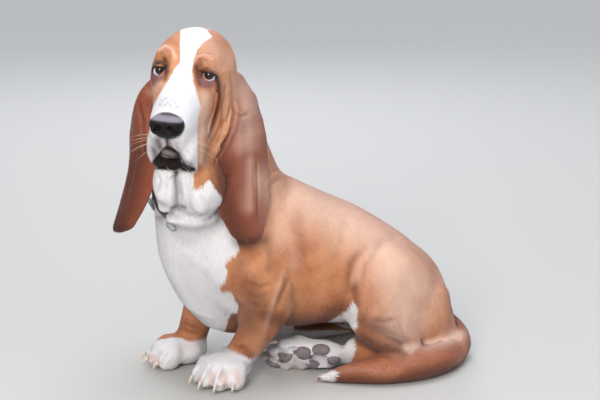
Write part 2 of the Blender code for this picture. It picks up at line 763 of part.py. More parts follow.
limbs = {}
for side in ("left", "right"):
    limbs.update(fore_leg(side))
    for part in hind_leg(side):
        limbs[part.name] = part
paws = {}
for paw_name, (place, length, width, height) in PAWS.items():
    shapes, claws = paw_shapes(paw_name, place, length, width, height)
    paws[paw_name] = fuse("paw_" + paw_name, shapes, PAW_VOXEL, 3, PAW_FACES)
    for claw in claws:
        wear(flatten_on_floor(carve(claw, paws[paw_name])), claw_horn)
pads = hind_pads(*PAWS["hind_left"])

carve(trunk_parts["neck"], strap, jaw, *ears)
carve(head, nose, jaw, *eyes, *ears)
carve(trunk_parts["chest"], strap, ears[0])
carve(limbs["upper_arm_left"], ears[0])
carve(trunk_parts["loin"], limbs["shank_right"])
carve(paws["hind_left"], *pads)
for side in ("left", "right"):
    carve(limbs["forearm_" + side], paws["fore_" + side])
    carve(trunk_parts["chest"], limbs["upper_arm_" + side], limbs["forearm_" + side])
    carve(limbs["hock_" + side], paws["hind_" + side], limbs["shank_" + side], limbs["thigh_" + side])
    carve(trunk_parts["loin"], limbs["thigh_" + side])
    carve(trunk_parts["rump"], limbs["thigh_" + side], limbs["hock_" + side], limbs["shank_" + side])
for neighbour in (trunk_parts["rump"], limbs["thigh_left"], limbs["thigh_right"], limbs["shank_left"],
                  limbs["hock_left"]):
    carve(neighbour, tail, gap=1.2 * SEAM)
carve(ears[0], strap)
for tail_seam, towards in (((0.062, 0.068, 0.030), (0.88, -0.47, 0)), ((0.126, -0.050, 0.026), (0, 1, 0))):
    subtract(tail, seam("tail", tail_seam, towards, 0.045, 0.045))
tail_parts = islands_to_parts(tail, {
    "tail_root": (0.020, 0.075, 0.040),
    "tail_middle": (0.110, 0.010, 0.027),
    "tail_end": (0.105, -0.120, 0.020),
})

for part in (*trunk_parts.values(), *limbs.values(), *tail_parts.values(), head):
    wear(flatten_on_floor(part), fur_tan)
for part in paws.values():
    wear(flatten_on_floor(part), fur_white)
for part in pads:
    wear(flatten_on_floor(part), pad_skin)
for part in ears:
    wear(part, fur_red)
wear(nose, nose_leather)
wear(jaw, nose_leather)
for eye in eyes:
    wear(eye, eye_gloss)
wear(strap, collar_leather, smooth=False)

# Buckle on the right of the neck under the ear, and a ring on the front of the strap beside the dewlap
for name, index, lift, drop, half_width, half_height, wire, power in (
        ("collar_buckle", 17, 0.0065, 0.0, 0.0130, 0.0145, 0.0018, 4.0),
        ("collar_ring", 20, 0.0030, 0.016, 0.0090, 0.0090, 0.0014, 2.0)):
    outward = collar_rays[index]
    centre = COLLAR_CENTRE + outward * (collar_reach[index] + COLLAR_THICKNESS + lift)
    loop = wire_loop(name, centre - COLLAR_NORMAL * drop, COLLAR_NORMAL.cross(outward), COLLAR_NORMAL,
                     half_width, half_height, wire, power)
    wear(loop, buckle_steel)
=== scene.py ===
"""Looks of the sitting basset hound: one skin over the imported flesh, then its coat, eyes, nose and collar."""
import math

import bmesh
import bpy
import numpy as np
from mathutils import Euler, Matrix, Vector
from mathutils.bvhtree import BVHTree


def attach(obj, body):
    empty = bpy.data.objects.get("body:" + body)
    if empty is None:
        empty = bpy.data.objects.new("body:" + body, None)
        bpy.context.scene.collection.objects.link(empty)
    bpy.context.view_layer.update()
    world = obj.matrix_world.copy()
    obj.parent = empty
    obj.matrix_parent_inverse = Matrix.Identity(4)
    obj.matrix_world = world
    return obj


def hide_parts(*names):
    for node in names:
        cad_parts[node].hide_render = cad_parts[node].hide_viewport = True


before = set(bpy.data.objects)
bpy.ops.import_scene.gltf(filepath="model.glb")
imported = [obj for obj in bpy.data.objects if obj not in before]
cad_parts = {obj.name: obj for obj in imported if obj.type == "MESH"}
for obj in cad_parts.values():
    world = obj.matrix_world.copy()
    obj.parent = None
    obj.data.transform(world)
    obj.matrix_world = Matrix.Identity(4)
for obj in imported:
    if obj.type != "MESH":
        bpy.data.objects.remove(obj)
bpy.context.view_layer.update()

MM = 0.001
random = np.random.default_rng(7)

# The head's own frame, as in the solids: +X the dog's left, -Y along the muzzle, origin between the eyes
HEAD_CENTRE = Vector((0.0240, -0.4120, 0.5380))
HEAD = (Matrix.Translation(HEAD_CENTRE) @ Matrix.Rotation(math.radians(52.0), 4, "Z")
        @ Matrix.Rotation(math.radians(13.0), 4, "X") @ Matrix.Rotation(math.radians(3.6), 4, "Y"))
HEAD_TURN = np.array(HEAD.to_3x3())

# How the skin is made
CUT = 0.3 * MM                # the gap that parts neighbouring solids
SKIN_GRAIN = 2.6 * MM         # spacing of the skin's points on the body; half of that on the face
COAT_DEPTH = 1.2 * MM         # skin under the tips of the short coat
EYE_SINK = 2.0 * MM           # how far the cast lies under the eyeballs
FLOOR_GAP = 0.3 * MM          # the lowest a hair hangs

EYE_RADIUS = 12.5             # mm, on the head
EYES = {"left": (39.5, -21.5, 9.0), "right": (-39.5, -21.5, 9.0)}

# The camera stands where the photo's did, so places in the photo can be named in its pixels
PHOTO_WIDTH, PHOTO_HEIGHT = 600, 400
CAMERA_PLACE = Vector((2.0858, -1.1822, 0.92))
CAMERA_TURN = Euler((math.radians(75), 0, math.radians(65)))
LENS, SENSOR = 85, 36
FOCAL = LENS / SENSOR * PHOTO_WIDTH

HIDING_GAP = 14 * MM           # what lies nearer than this over a point is a fold of the same skin

SIDES = ("left", "right")
PAIRED_PARTS = ("ear", "upper_arm", "forearm", "thigh", "shank", "hock", "paw_fore", "paw_hind")
FLESH = ["head", "jaw", "neck", "chest", "loin", "rump", "tail_root", "tail_middle", "tail_end"]
FLESH += [f"{part}_{side}" for part in PAIRED_PARTS for side in SIDES]


def on_head(points):
    """World points as millimetres in the head's own frame."""
    return (points - np.array(HEAD_CENTRE)) @ HEAD_TURN / MM


def head_point(x, y, z):
    """A place on the head, in millimetres in the head's own frame, as a world point in metres."""
    return np.array(HEAD @ Vector((x * MM, y * MM, z * MM)))


def in_photo(points):
    """World points as pixels of the photo."""
    seen = (points - np.array(CAMERA_PLACE)) @ np.array(CAMERA_TURN.to_matrix())
    across = PHOTO_WIDTH / 2 - FOCAL * seen[:, 0] / seen[:, 2]
    down = PHOTO_HEIGHT / 2 + FOCAL * seen[:, 1] / seen[:, 2]
    return np.column_stack([across, down])


def shown_in_photo(mesh, rounds):
    """1 where the photo shows the surface, 0 where it's turned away or behind something, soft between.
    More rounds of easing the normals make it heed small folds less."""
    points = points_of(mesh)
    edges = edges_of(mesh)
    toward = np.array(CAMERA_PLACE) - points
    away = np.linalg.norm(toward, axis=1)
    toward = toward / away[:, None]
    broad = unit(relax(normals_of(mesh), edges, rounds))
    facing = step(-0.12, 0.10, np.sum(toward * broad, axis=1))
    tree = surface_tree(mesh)
    for i in np.where(facing > 0)[0]:
        start = Vector(points[i] + toward[i] * HIDING_GAP)
        if tree.ray_cast(start, Vector(toward[i]), away[i])[0] is not None:
            facing[i] = 0.0
    return relax(facing, edges, 2)


def seen_at(tree, pixels):
    """The points of a surface that these pixels of the photo show."""
    found = []
    for across, down in pixels:
        way = Vector(((across - PHOTO_WIDTH / 2) / FOCAL, (PHOTO_HEIGHT / 2 - down) / FOCAL, -1.0))
        way.rotate(CAMERA_TURN)
        hit = tree.ray_cast(CAMERA_PLACE, way.normalized())[0]
        if hit is None:
            print("nothing seen at", across, down)
            continue
        found.append(tuple(hit))
    return found


def step(low, high, value):
    """0 below low, 1 above high, and a soft rise between."""
    t = np.clip((value - low) / (high - low), 0.0, 1.0)
    return t * t * (3.0 - 2.0 * t)


def unit(vectors):
    return vectors / np.maximum(np.linalg.norm(vectors, axis=-1, keepdims=True), 1e-12)


# Meshes and arrays

def placed(name, data):
    """A new object in the scene: a mesh, a lamp or a camera."""
    made = bpy.data.objects.new(name, data)
    bpy.context.scene.collection.objects.link(made)
    return made


def new_object(name, points, faces):
    mesh = bpy.data.meshes.new(name)
    mesh.from_pydata([tuple(p) for p in points], [], [tuple(f) for f in faces])
    mesh.update()
    return placed(name, mesh)


def points_of(mesh):
    points = np.empty(len(mesh.vertices) * 3)
    mesh.vertices.foreach_get("co", points)
    return points.reshape(-1, 3)


def set_points(mesh, points):
    mesh.vertices.foreach_set("co", points.ravel())
    mesh.update()


def normals_of(mesh):
    normals = np.empty(len(mesh.vertices) * 3)
    mesh.vertex_normals.foreach_get("vector", normals)
    return normals.reshape(-1, 3)


def edges_of(mesh):
    edges = np.empty(len(mesh.edges) * 2, np.int64)
    mesh.edges.foreach_get("vertices", edges)
    return edges.reshape(-1, 2)


def triangles_of(mesh):
    mesh.calc_loop_triangles()
    corners = np.empty(len(mesh.loop_triangles) * 3, np.int64)
    mesh.loop_triangles.foreach_get("vertices", corners)
    return corners.reshape(-1, 3)


def surface_tree(mesh):
    """The mesh's surface, to cast rays at and to find the nearest place on."""
    return BVHTree.FromPolygons([tuple(p) for p in points_of(mesh)], triangles_of(mesh).tolist())


def gathered(shapes):
    """Several shapes, each its points and faces, as one list of points and one of faces."""
    points, faces = [], []
    for shape_points, shape_faces in shapes:
        first = len(points)
        points.extend(shape_points)
        faces.extend([tuple(first + i for i in face) for face in shape_faces])
    return points, faces


def neighbour_mean(values, edges, degree):
    a, b = edges.T
    mean = np.empty_like(values)
    for k in range(values.shape[1]):
        mean[:, k] = np.bincount(a, values[b, k], len(values)) + np.bincount(b, values[a, k], len(values))
    return mean / degree[:, None]


def relax(values, edges, rounds, weight=1.0):
    """Ease each point, or what is given at it, toward its neighbours' mean."""
    column = values.reshape(len(values), -1).astype(float)
    degree = np.bincount(edges.ravel(), minlength=len(values)).astype(float)
    share = np.broadcast_to(0.5 * np.asarray(weight), len(values))[:, None]
    for _ in range(rounds):
        column = column + share * (neighbour_mean(column, edges, degree) - column)
    return column.reshape(values.shape)


def write_attribute(mesh, name, values):
    kind = "FLOAT" if values.ndim == 1 else "FLOAT_VECTOR"
    attribute = mesh.attributes.get(name) or mesh.attributes.new(name, kind, "POINT")
    attribute.data.foreach_set("value" if values.ndim == 1 else "vector", values.astype(np.float32).ravel())


def read_attribute(mesh, name):
    values = np.empty(len(mesh.vertices), np.float32)
    mesh.attributes[name].data.foreach_get("value", values)
    return values.astype(float)


def read_vectors(mesh, name):
    values = np.empty(len(mesh.vertices) * 3, np.float32)
    mesh.attributes[name].data.foreach_get("vector", values)
    return values.reshape(-1, 3).astype(float)


def distance_to_path(points, path):
    """Shortest distance from each point to a line through the path's points, and how far along it."""
    best = np.full(len(points), 1e9)
    along = np.zeros(len(points))
    for i in range(len(path) - 1):
        start, end = np.array(path[i], float), np.array(path[i + 1], float)
        leg = end - start
        t = np.clip((points - start) @ leg / (leg @ leg), 0, 1)
        gap = np.linalg.norm(points - start - t[:, None] * leg, axis=1)
        nearer = gap < best
        best[nearer] = gap[nearer]
        along[nearer] = (i + t[nearer]) / (len(path) - 1)
    return best, along


def inside(outline, pixels):
    """How deep in an outline of the photo points lie, in pixels; negative outside."""
    closed = list(outline) + [outline[0]]
    gap, _ = distance_to_path(pixels, closed)
    across, down = pixels.T
    crossed = np.zeros(len(pixels), int)
    for (x1, y1), (x2, y2) in zip(closed[:-1], closed[1:]):
        spans = (y1 > down) != (y2 > down)
        if y1 != y2:
            crossed += spans & (across < x1 + (down - y1) * (x2 - x1) / (y2 - y1))
    return np.where(crossed % 2 == 1, gap, -gap)


def apply_modifiers(piece):
    graph = bpy.context.evaluated_depsgraph_get()
    mesh = bpy.data.meshes.new_from_object(piece.evaluated_get(graph))
    piece.modifiers.clear()
    piece.data = mesh
    return piece


# The skin

EAR_HINGES = {
    "left": (Vector((0.010, -0.345, 0.514)), Vector((-0.036, -0.308, 0.518))),
    "right": (Vector((-0.052, -0.440, 0.510)), Vector((-0.078, -0.410, 0.512))),
}
EAR_SWING = math.radians(32)


def swing_ear(points, side, direction):
    """Swing a hanging ear away from the neck (direction 1) or back (-1), all but its root.
    The skin is cast with the ears held off, so that they don't grow onto the neck."""
    front, back = (np.array(p) for p in EAR_HINGES[side])
    axis = unit(back - front)
    outward = HEAD_TURN[:, 0] * (1 if side == "left" else -1)
    if np.cross(axis, (0, 0, -1.0)) @ outward < 0:
        axis = -axis
    arm = points - front
    arm_along = (arm @ axis)[:, None] * axis
    arm_across = arm - arm_along
    reach = np.linalg.norm(arm_across, axis=1)
    angle = direction * EAR_SWING * step(0.030, 0.085, reach)
    turned = arm_across * np.cos(angle)[:, None] + np.cross(axis, arm_across) * np.sin(angle)[:, None]
    return front + arm_along + turned


def welded(name, swell):
    """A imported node's points and triangles, its split points merged and its surface moved out a little."""
    shape = bmesh.new()
    shape.from_mesh(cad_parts[name].data)
    bmesh.ops.remove_doubles(shape, verts=shape.verts, dist=0.00001)
    shape.normal_update()
    points = np.array([v.co + v.normal * swell for v in shape.verts])
    faces = [[v.index for v in f.verts] for f in shape.faces]
    shape.free()
    return points, faces


def cast_skin():
    """All the flesh as one closed surface, each of its points marked with the node that it belongs to."""
    shapes, owner = [], []
    for number, name in enumerate(FLESH):
        points, faces = welded(name, 1.5 * CUT)
        if name.startswith("ear_"):
            points = swing_ear(points, name[4:], 1)
        shapes.append((points, faces))
        owner.extend([number] * len(faces))
    flesh_points, flesh_faces = gathered(shapes)
    solids = BVHTree.FromPolygons([tuple(p) for p in flesh_points], flesh_faces)
    shapes += [welded(f"eye_{side}", -EYE_SINK) for side in SIDES]
    skin = new_object("skin", *gathered(shapes))
    remesh = skin.modifiers.new("cast", "REMESH")
    remesh.mode = "VOXEL"
    remesh.voxel_size = SKIN_GRAIN
    apply_modifiers(skin)
    points = points_of(skin.data)
    part = np.array([owner[solids.find_nearest(p)[2]] for p in points])
    for side in SIDES:
        hanging = part == FLESH.index(f"ear_{side}")
        points[hanging] = swing_ear(points[hanging], side, -1)
    set_points(skin.data, points)
    write_attribute(skin.data, "part", part.astype(float))
    return skin


def parts_of(mesh):
    return np.rint(read_attribute(mesh, "part")).astype(int)


def belongs(part, *stems):
    """Which points belong to nodes whose names start with one of these stems."""
    numbers = [i for i, name in enumerate(FLESH) if name.startswith(stems)]
    return np.isin(part, numbers)


SOFTENING = {"head": 0.30, "jaw": 0.2, "ear_": 0.40, "paw_": 0.16, "tail_": 0.7}


def even_out(skin):
    """Blend the limbs into the trunk and smooth the facets, least on paws and face."""
    part = parts_of(skin.data)
    weight = np.ones(len(part))
    for stem, amount in SOFTENING.items():
        weight[belongs(part, stem)] = amount
    edges = edges_of(skin.data)
    weight = relax(weight, edges, 6)
    set_points(skin.data, relax(points_of(skin.data), edges, 44, weight))
    inset = np.where(belongs(part, "ear_", "paw_", "head", "jaw"), 0.7, 1.0) * COAT_DEPTH
    inset = relax(inset, edges, 8)
    points = points_of(skin.data) - normals_of(skin.data) * inset[:, None]
    set_points(skin.data, points)


def refine(skin, chosen, longest=0.0):
    """Halve the edges between chosen points, where longer than this, and keep what is written at them.
    Cutting only long edges leaves faces with many sides, which are split."""
    shape = bmesh.new()
    shape.from_mesh(skin.data)
    shape.verts.ensure_lookup_table()
    edges = [e for e in shape.edges if chosen[e.verts[0].index] and chosen[e.verts[1].index]
             and e.calc_length() > longest]
    bmesh.ops.subdivide_edges(shape, edges=edges, cuts=1, use_grid_fill=True, smooth=0.0)
    if longest:
        many_sided = [f for f in shape.faces if len(f.verts) > 4]
        bmesh.ops.triangulate(shape, faces=many_sided)
    shape.to_mesh(skin.data)
    shape.free()


def eye_distance(local):
    """How far points lie from the nearer eye's middle, in millimetres."""
    return np.min([np.linalg.norm(local - np.array(EYES[side]), axis=1) for side in SIDES], axis=0)


def refine_face(skin):
    """Halve the spacing of points on the face, and again round the eyes, then smooth the facets."""
    local = on_head(points_of(skin.data))
    face = (local[:, 1] < 45) & (local[:, 2] > -150) & (np.abs(local[:, 0]) < 75)
    refine(skin, face & belongs(parts_of(skin.data), "head", "jaw", "neck"))
    refine(skin, eye_distance(on_head(points_of(skin.data))) < 26)
    local = on_head(points_of(skin.data))
    weight = step(48, 30, local[:, 1]) * step(-160, -140, local[:, 2])
    set_points(skin.data, relax(points_of(skin.data), edges_of(skin.data), 5, weight * 0.8))


def refine_lids(skin):
    """Halve the edges that the lids stretched, round by round."""
    for longest in (4.0, 2.0, 1.2):
        refine(skin, eye_distance(on_head(points_of(skin.data))) < 46, longest * MM)


# Folds of the face, as paths in millimetres in the head's own frame, on the dog's left and mirrored:
# depth is how far the skin sinks (or with a minus rises), width how far that reaches to each side
FACE_FOLDS = [
    ("cheek crease", [(55, -20, -2), (52, -21, -32), (50, -24, -51), (48, -33, -66), (44, -42, -82),
                      (43, -62, -92)], 9.0, 3.0),
    ("cheek pleat", [(50, -31, -10), (47, -34, -35), (43, -36, -60), (42, -54, -80)], 2.2, 2.6),
    ("flap roll", [(60, -6, 2), (62, 0, -36), (60, -6, -70), (56, -26, -98), (50, -50, -114)], -5.0, 7.0),
    ("flap edge", [(64, 12, 0), (66, 18, -37), (66, 14, -66), (66, 0, -82), (60, -18, -102),
                   (54, -40, -118)], 4.5, 3.0),
    ("eye corner fold", [(54, -22, 10), (57, -14, 16), (57, -2, 18)], 1.8, 2.4),
    ("lid fold", [(20, -38, 22), (25, -33, 28), (33, -30, 30), (43, -27, 26), (50, -22, 17)], 2.4, 1.9),
    ("brow edge", [(16, -34, 30), (20, -23, 37), (30, -16, 39), (41, -15, 34), (49, -15, 24)], -1.6, 2.4),
    ("brow furrow", [(13, -24, 40), (21, -12, 44), (34, -5, 43), (47, -2, 35)], 1.3, 2.4),
    ("frown", [(10, -34, 33), (8, -20, 41), (10, -4, 47)], 1.0, 2.4),
    ("under the eye", [(22, -48, 0), (32, -45, -10), (44, -36, -11)], 1.6, 2.2),
    ("second under the eye", [(26, -54, -10), (34, -50, -20), (44, -42, -26)], 1.2, 2.6),
    ("muzzle side", [(34, -60, -16), (41, -66, -50), (42, -70, -92)], -1.6, 8.0),
    ("flew dimple", [(36, -84, -62), (38, -92, -84)], 1.0, 5.0),
]
LOWEST_FACE_FOLD = -260       # mm
FAR_FOLD_SHARE = 0.55         # the hidden cheek hangs less, as the head leans to the other
# The mouth as the photo shows it, in its pixels
LIP_EDGE = [(154, 162), (158, 156), (162, 151), (167, 146.5), (173, 149), (178, 153.5), (181, 159),
            (185, 165), (194, 168.5)]
MOUTH_OUTLINE = [(167, 145.5), (171, 147.5), (176, 150.5), (179, 154), (181, 159), (184, 164.5), (189, 167.5),
                 (195, 168.5), (196, 171), (190, 172), (184, 171), (179, 169), (177, 175), (174, 171),
                 (163, 170), (154, 169), (151, 164), (153, 160), (158, 155.5), (161, 152), (164, 148)]
CHIN_OUTLINE = [(162, 151), (166, 150), (171, 151.5), (176.5, 154.5), (173, 156), (168, 155.5), (163, 154)]
MOUTH_DEPTH = 3.0             # mm
PHILTRUM = [(167.5, 138), (167.3, 142), (167, 146)]

# The loose skin that hangs from the brow to the corner of the mouth, before the ear
FLAP = [(226, 68), (236, 90), (234, 112), (231, 125), (225, 140), (217, 157), (213, 165), (206, 162),
        (206, 140), (214, 120), (218, 95)]

# Folds and rolls the photo shows on body and ears, as paths in its pixels, then depth and width as above
BODY_FOLDS = [
    ("edge of the skin flap", [(234, 98), (233.5, 112), (231, 125), (225, 140), (218, 154), (213.5, 164)],
     4.5, 2.2),
    ("edge of the lips", LIP_EDGE, 2.6, 2.0),
    ("groove under the nose", PHILTRUM, 2.2, 1.5),
    ("behind the foreleg", [(288, 272), (283, 290), (277, 305), (272, 322), (268, 340)], 1.4, 4.6),
    ("foreleg's back edge", [(282, 274), (277, 290), (271, 305), (266, 322)], -0.8, 5.0),
    ("elbow wrinkle", [(249, 281), (259, 285), (270, 283)], 1.5, 3.0),
    ("second elbow wrinkle", [(246, 291), (257, 296), (269, 293)], 1.2, 3.0),
    ("forearm wrinkle", [(253, 303), (261, 306), (269, 303)], 1.3, 2.8),
    ("wrist fold", [(232, 344), (238, 347), (246, 347)], 1.8, 2.6),
    ("wrist roll", [(233, 339), (240, 341), (248, 342)], -1.2, 3.6),
    ("heel of the wrist", [(243, 354), (250, 357), (256, 352)], 1.6, 2.8),
    ("far wrist fold", [(182, 327), (190, 332), (199, 334)], 1.8, 3.0),
    ("second far wrist fold", [(183, 320), (190, 325), (198, 327)], 1.2, 3.0),
    ("shoulder ridge", [(291, 200), (288, 222), (292, 245), (292, 262)], -1.8, 12.0),
    ("behind the shoulder", [(302, 205), (301, 226), (305, 248), (303, 268)], 1.8, 12.0),
    ("throat to shoulder", [(268, 240), (262, 258), (256, 270)], -2.0, 9.0),
    ("collarbone hollow", [(254, 258), (262, 268), (276, 270)], 1.8, 6.0),
    ("breast fold", [(180, 245), (200, 262), (216, 268)], -1.8, 12.0),
    ("breastbone", [(178, 262), (182, 282), (196, 305)], 1.5, 9.0),
    ("keel", [(185, 303), (198, 312), (216, 318)], -1.6, 8.0),
    ("neck wrinkle", [(266, 190), (273, 182), (281, 177)], 2.0, 3.6),
    ("second neck wrinkle", [(266, 178), (270, 172), (275, 167)], 1.6, 3.4),
    ("flank hollow", [(362, 250), (352, 264), (349, 280), (352, 296)], 4.0, 7.0),
    ("thigh's front edge", [(373, 247), (361, 260), (357, 275), (360, 292)], -2.6, 7.0),
    ("back line of the thigh", [(372, 245), (384, 239), (397, 237)], 1.6, 7.0),
    ("ribs end", [(345, 215), (340, 240), (333, 262)], 1.4, 9.0),
    ("knee crease", [(372, 318), (382, 321), (395, 319)], 3.0, 4.0),
    ("heel crease", [(385, 337), (393, 340), (402, 346)], 3.0, 3.0),
    ("heel roll", [(389, 328), (398, 332), (404, 340)], -2.0, 4.0),
    ("thigh dimple", [(398, 313), (403, 330)], 1.5, 6.0),
    ("belly fold", [(262, 322), (285, 330), (315, 329), (338, 316)], 1.6, 5.0),
    ("crease between the dewlaps", [(177, 171), (177.5, 180), (178.5, 192), (178.5, 208)], 12.0, 4.6),
    ("dewlap's outer fold", [(200, 175), (202, 185), (206, 192)], 2.0, 4.0),
    ("dewlap's upper fold", [(158, 174), (160, 180), (160, 188)], 1.8, 3.0),
    ("under the near dewlap", [(180, 205), (188, 210), (198, 213.5), (208, 213), (216, 207)], 4.2, 2.6),
    ("under the far dewlap", [(157, 211), (162, 213.5), (168, 211.5), (175, 206)], 4.2, 2.6),
    ("ear's turned edge", [(256.5, 152), (257, 168), (257.5, 185), (257.5, 202), (258, 214)], 3.0, 2.6),
    ("ear's roll by the turned edge", [(251, 150), (251, 175), (251, 200), (252, 220)], -1.8, 5.0),
    ("ear's shoulder fold", [(234, 114), (241, 116), (249, 113)], 2.0, 2.6),
    ("ear hollow", [(229, 172), (229, 186)], 3.2, 7.0),
    ("ear's front edge", [(214, 170), (217, 185), (220, 205), (227, 224)], -1.6, 4.0),
    ("ear hem", [(240, 243), (250, 238), (261, 236)], 2.2, 2.2),
    ("ear's long fold", [(238, 120), (240, 150), (240, 185), (240, 215)], -1.5, 8.0),
    ("far ear fold", [(140, 100), (143, 120), (143, 140), (144, 152)], 3.0, 3.0),
    ("far ear roll", [(138, 108), (135, 130), (131, 160), (124, 190)], -1.8, 6.0),
    ("far ear hollow", [(137, 150), (131, 180), (124, 205)], 1.8, 5.0),
    ("far ear hem", [(117, 224), (122, 228), (129, 224)], 1.6, 2.6),
    ("round the knob of the brow", [(195, 72), (195.5, 63), (201, 59), (207, 61), (210, 66)], 1.6, 1.6),
    ("under the knob of the brow", [(196, 71), (201, 72), (207, 69)], 2.0, 2.0),
    ("round the far knob", [(159, 60), (160, 51.5), (165, 49), (170, 52), (171, 58)], 1.4, 1.6),
    ("under the far knob", [(161, 60), (166, 62), (170, 59)], 1.8, 2.0),
    ("arch over the near brow", [(193, 64), (197, 57), (204, 54.5), (213, 59)], -1.0, 2.4),
    ("arch over the far brow", [(160.5, 50), (165, 46.5), (172, 49), (175, 57)], -0.9, 2.2),
    ("toe line", [(200, 366), (196, 374), (194, 379)], 5.0, 2.4),
    ("second toe line", [(211, 365), (207, 376), (203, 386)], 5.0, 2.4),
    ("third toe line", [(225, 366), (221, 377), (218, 388)], 5.0, 2.4),
    ("far toe line", [(161, 350), (154, 356), (150, 360)], 3.0, 2.6),
    ("second far toe line", [(170, 352), (164, 360), (161, 366)], 3.0, 2.6),
    ("between the sole's pads", [(294, 346), (295, 356), (296, 366)], 3.0, 3.0),
    ("second gap of the sole", [(319, 346), (321, 356), (327, 366)], 2.4, 2.4),
    ("third gap of the sole", [(279, 352), (280, 360), (284, 368)], 2.2, 2.2),
]
BULGES = [                    # place in the photo, radius and height in millimetres
    ("hanging flew", (186, 159), 8, 3.5),
    ("hanging flew, far", (155, 156), 5, 1.5),
    ("near lobe of the dewlap", (197, 195), 17, 10.0),
    ("far lobe of the dewlap", (163, 194), 14, 10.0),
    ("near lobe's lower edge", (201, 206), 12, 9.5),
    ("far lobe's lower edge", (164, 206), 9, 9.0),
    ("skin over the collar", (186, 218), 14, 13.0),
    ("skin over the collar, near", (199, 219), 14, 10.0),
    ("skin over the collar, outer", (213, 217), 12, 5.0),
    ("skin over the collar, far", (174, 216), 12, 12.5),
    ("skin flap", (224, 132), 9, 4.5),
    ("skin flap, lower", (216, 150), 8, 4.0),
    ("point of the shoulder", (262, 268), 26, 3.5),
    ("elbow", (272, 290), 16, 2.5),
    ("skin over the collar, middle", (188, 212), 9, 5.0),
    ("hip", (395, 262), 40, 3.0),
    ("wrist", (232, 352), 14, 1.8),
    ("rump", (432, 268), 42, 6.0),
    ("knob of the brow", (201.5, 65), 6.0, 4.6),
    ("knob of the far brow", (165, 54), 5.5, 4.2),
    ("far side of the dewlap", (156, 198), 12, 7.0),
    ("far lobe, low", (158, 204), 10, 4.0),
    ("corner of the skull", (230, 50), 24, -6.0),
    ("tail's outer side", (464, 342), 24, -7.0),
]
EAR_PULLS = [                 # place on the far ear's inner edge, radius, and its way toward the throat in mm
    ((148, 166), 16, 6.0), ((146, 184), 16, 6.0),
]
HEAD_BULGES = [               # place in the head's millimetres, radius and height; mirrored
    ("brow", (31, -22, 37), 8.5, 3.6), ("temple", (50, 8, 30), 18, 1.2), ("cheek", (44, -46, -40), 15, 2.0),
    ("lower lid bag", (38, -36, -8), 8, 1.6), ("flew", (30, -104, -84), 18, 1.5),
]


def pressed(points, normals, path, depth, width):
    """Sink (or raise) the surface along a path, dying out over its width and at its ends."""
    gap, along = distance_to_path(points, path)
    ends = step(0.0, 0.18, along) * step(1.0, 0.82, along)
    profile = np.exp(-(gap / width) ** 2)
    if depth > 0:
        profile = profile - 0.30 * np.exp(-((gap - 2.3 * width) / (1.1 * width)) ** 2)
    return normals * (-depth * profile * (0.25 + 0.75 * ends))[:, None]


def swollen(points, normals, centre, radius, height):
    gap = np.linalg.norm(points - np.array(centre), axis=1)
    return normals * (height * np.exp(-(gap / radius) ** 2))[:, None]


def pulled(points, centre, radius, way):
    """Draw the surface near a place the given way, less further from it."""
    gap = np.linalg.norm(points - np.array(centre), axis=1)
    return np.exp(-(gap / radius) ** 2)[:, None] * np.array(way)


def sculpt(skin):
    """Creases, pleats and rolls of face, ears, dewlap and body."""
    points = points_of(skin.data)
    normals = normals_of(skin.data)
    local = on_head(points)
    tree = surface_tree(skin.data)
    moved = np.zeros_like(points)
    near_head = local[:, 2] > LOWEST_FACE_FOLD
    for _, path, depth, width in FACE_FOLDS:
        for side, share in ((1, 1.0), (-1, FAR_FOLD_SHARE)):
            mirrored = [(side * x, y, z) for x, y, z in path]
            moved[near_head] += pressed(local[near_head], normals[near_head], mirrored,
                                        depth * share * MM, width)
    for _, (x, y, z), radius, height in HEAD_BULGES:
        for side in (1, -1):
            moved[near_head] += swollen(local[near_head], normals[near_head], (side * x, y, z),
                                        radius, height * MM)
    pixels = in_photo(points)
    seen = shown_in_photo(skin.data, 10) * near_head
    mouth = inside(MOUTH_OUTLINE, pixels)
    opening = step(-1.5, 2.5, mouth) - 0.6 * step(-2.5, 2.0, inside(CHIN_OUTLINE, pixels))
    moved -= normals * (MOUTH_DEPTH * MM * opening * seen)[:, None]
    for _, course, depth, width in BODY_FOLDS:
        path = seen_at(tree, course)
        moved += pressed(points, normals, path, depth * MM, width * MM)
    for _, pixel, radius, height in BULGES:
        centre = seen_at(tree, [pixel])[0]
        moved += swollen(points, normals, centre, radius * MM, height * MM)
    across_photo = np.array(CAMERA_TURN.to_matrix())[:, 0]
    far_ear = belongs(parts_of(skin.data), "ear_right")
    for pixel, radius, reach in EAR_PULLS:
        centre = seen_at(tree, [pixel])[0]
        moved[far_ear] += pulled(points[far_ear], centre, radius * MM, across_photo * reach * MM)
    points = relax(points + moved, edges_of(skin.data), 10, step(-1.0, 1.0, mouth) * seen)
    set_points(skin.data, points)


EYE_TURN = {"left": (0.08, -0.95, 0.26), "right": (-0.06, -0.93, 0.34)}
EYE_TILT = 0.16               # the outer corners hang
EYE_HALF_WIDTH = 0.90         # of the opening, as an angle at the eye's middle in radians
EYE_UPPER = 0.42
EYE_LOWER = 0.82              # the lower lid droops
LID_THICKNESS = 1.2           # mm
LID_ROUNDNESS = 2.15          # 2 is an ellipse
LID_GAP = 1.1                 # mm, between the eyeball and its lids
LID_REACH = 32                # mm from the eye's middle
OPENING_DEPTH = 3.0           # mm, how far the skin behind the opening sinks into the eyeball
LID_ROLL = 1.22               # where a lid has its full thickness, in what lid_measure gives, as the next two
UPPER_LID_END = 3.0
LOWER_LID_END = 1.65


def eye_frame(side):
    """The eye's middle, and its unit axes: sideways, up and out of the head, in the head's millimetres."""
    out = unit(np.array(EYE_TURN[side]))
    tilt = EYE_TILT if side == "left" else -EYE_TILT
    sideways = unit(np.cross((tilt, 0.0, 1.0), out))
    up = np.cross(out, sideways)
    return np.array(EYES[side]), sideways, up, out


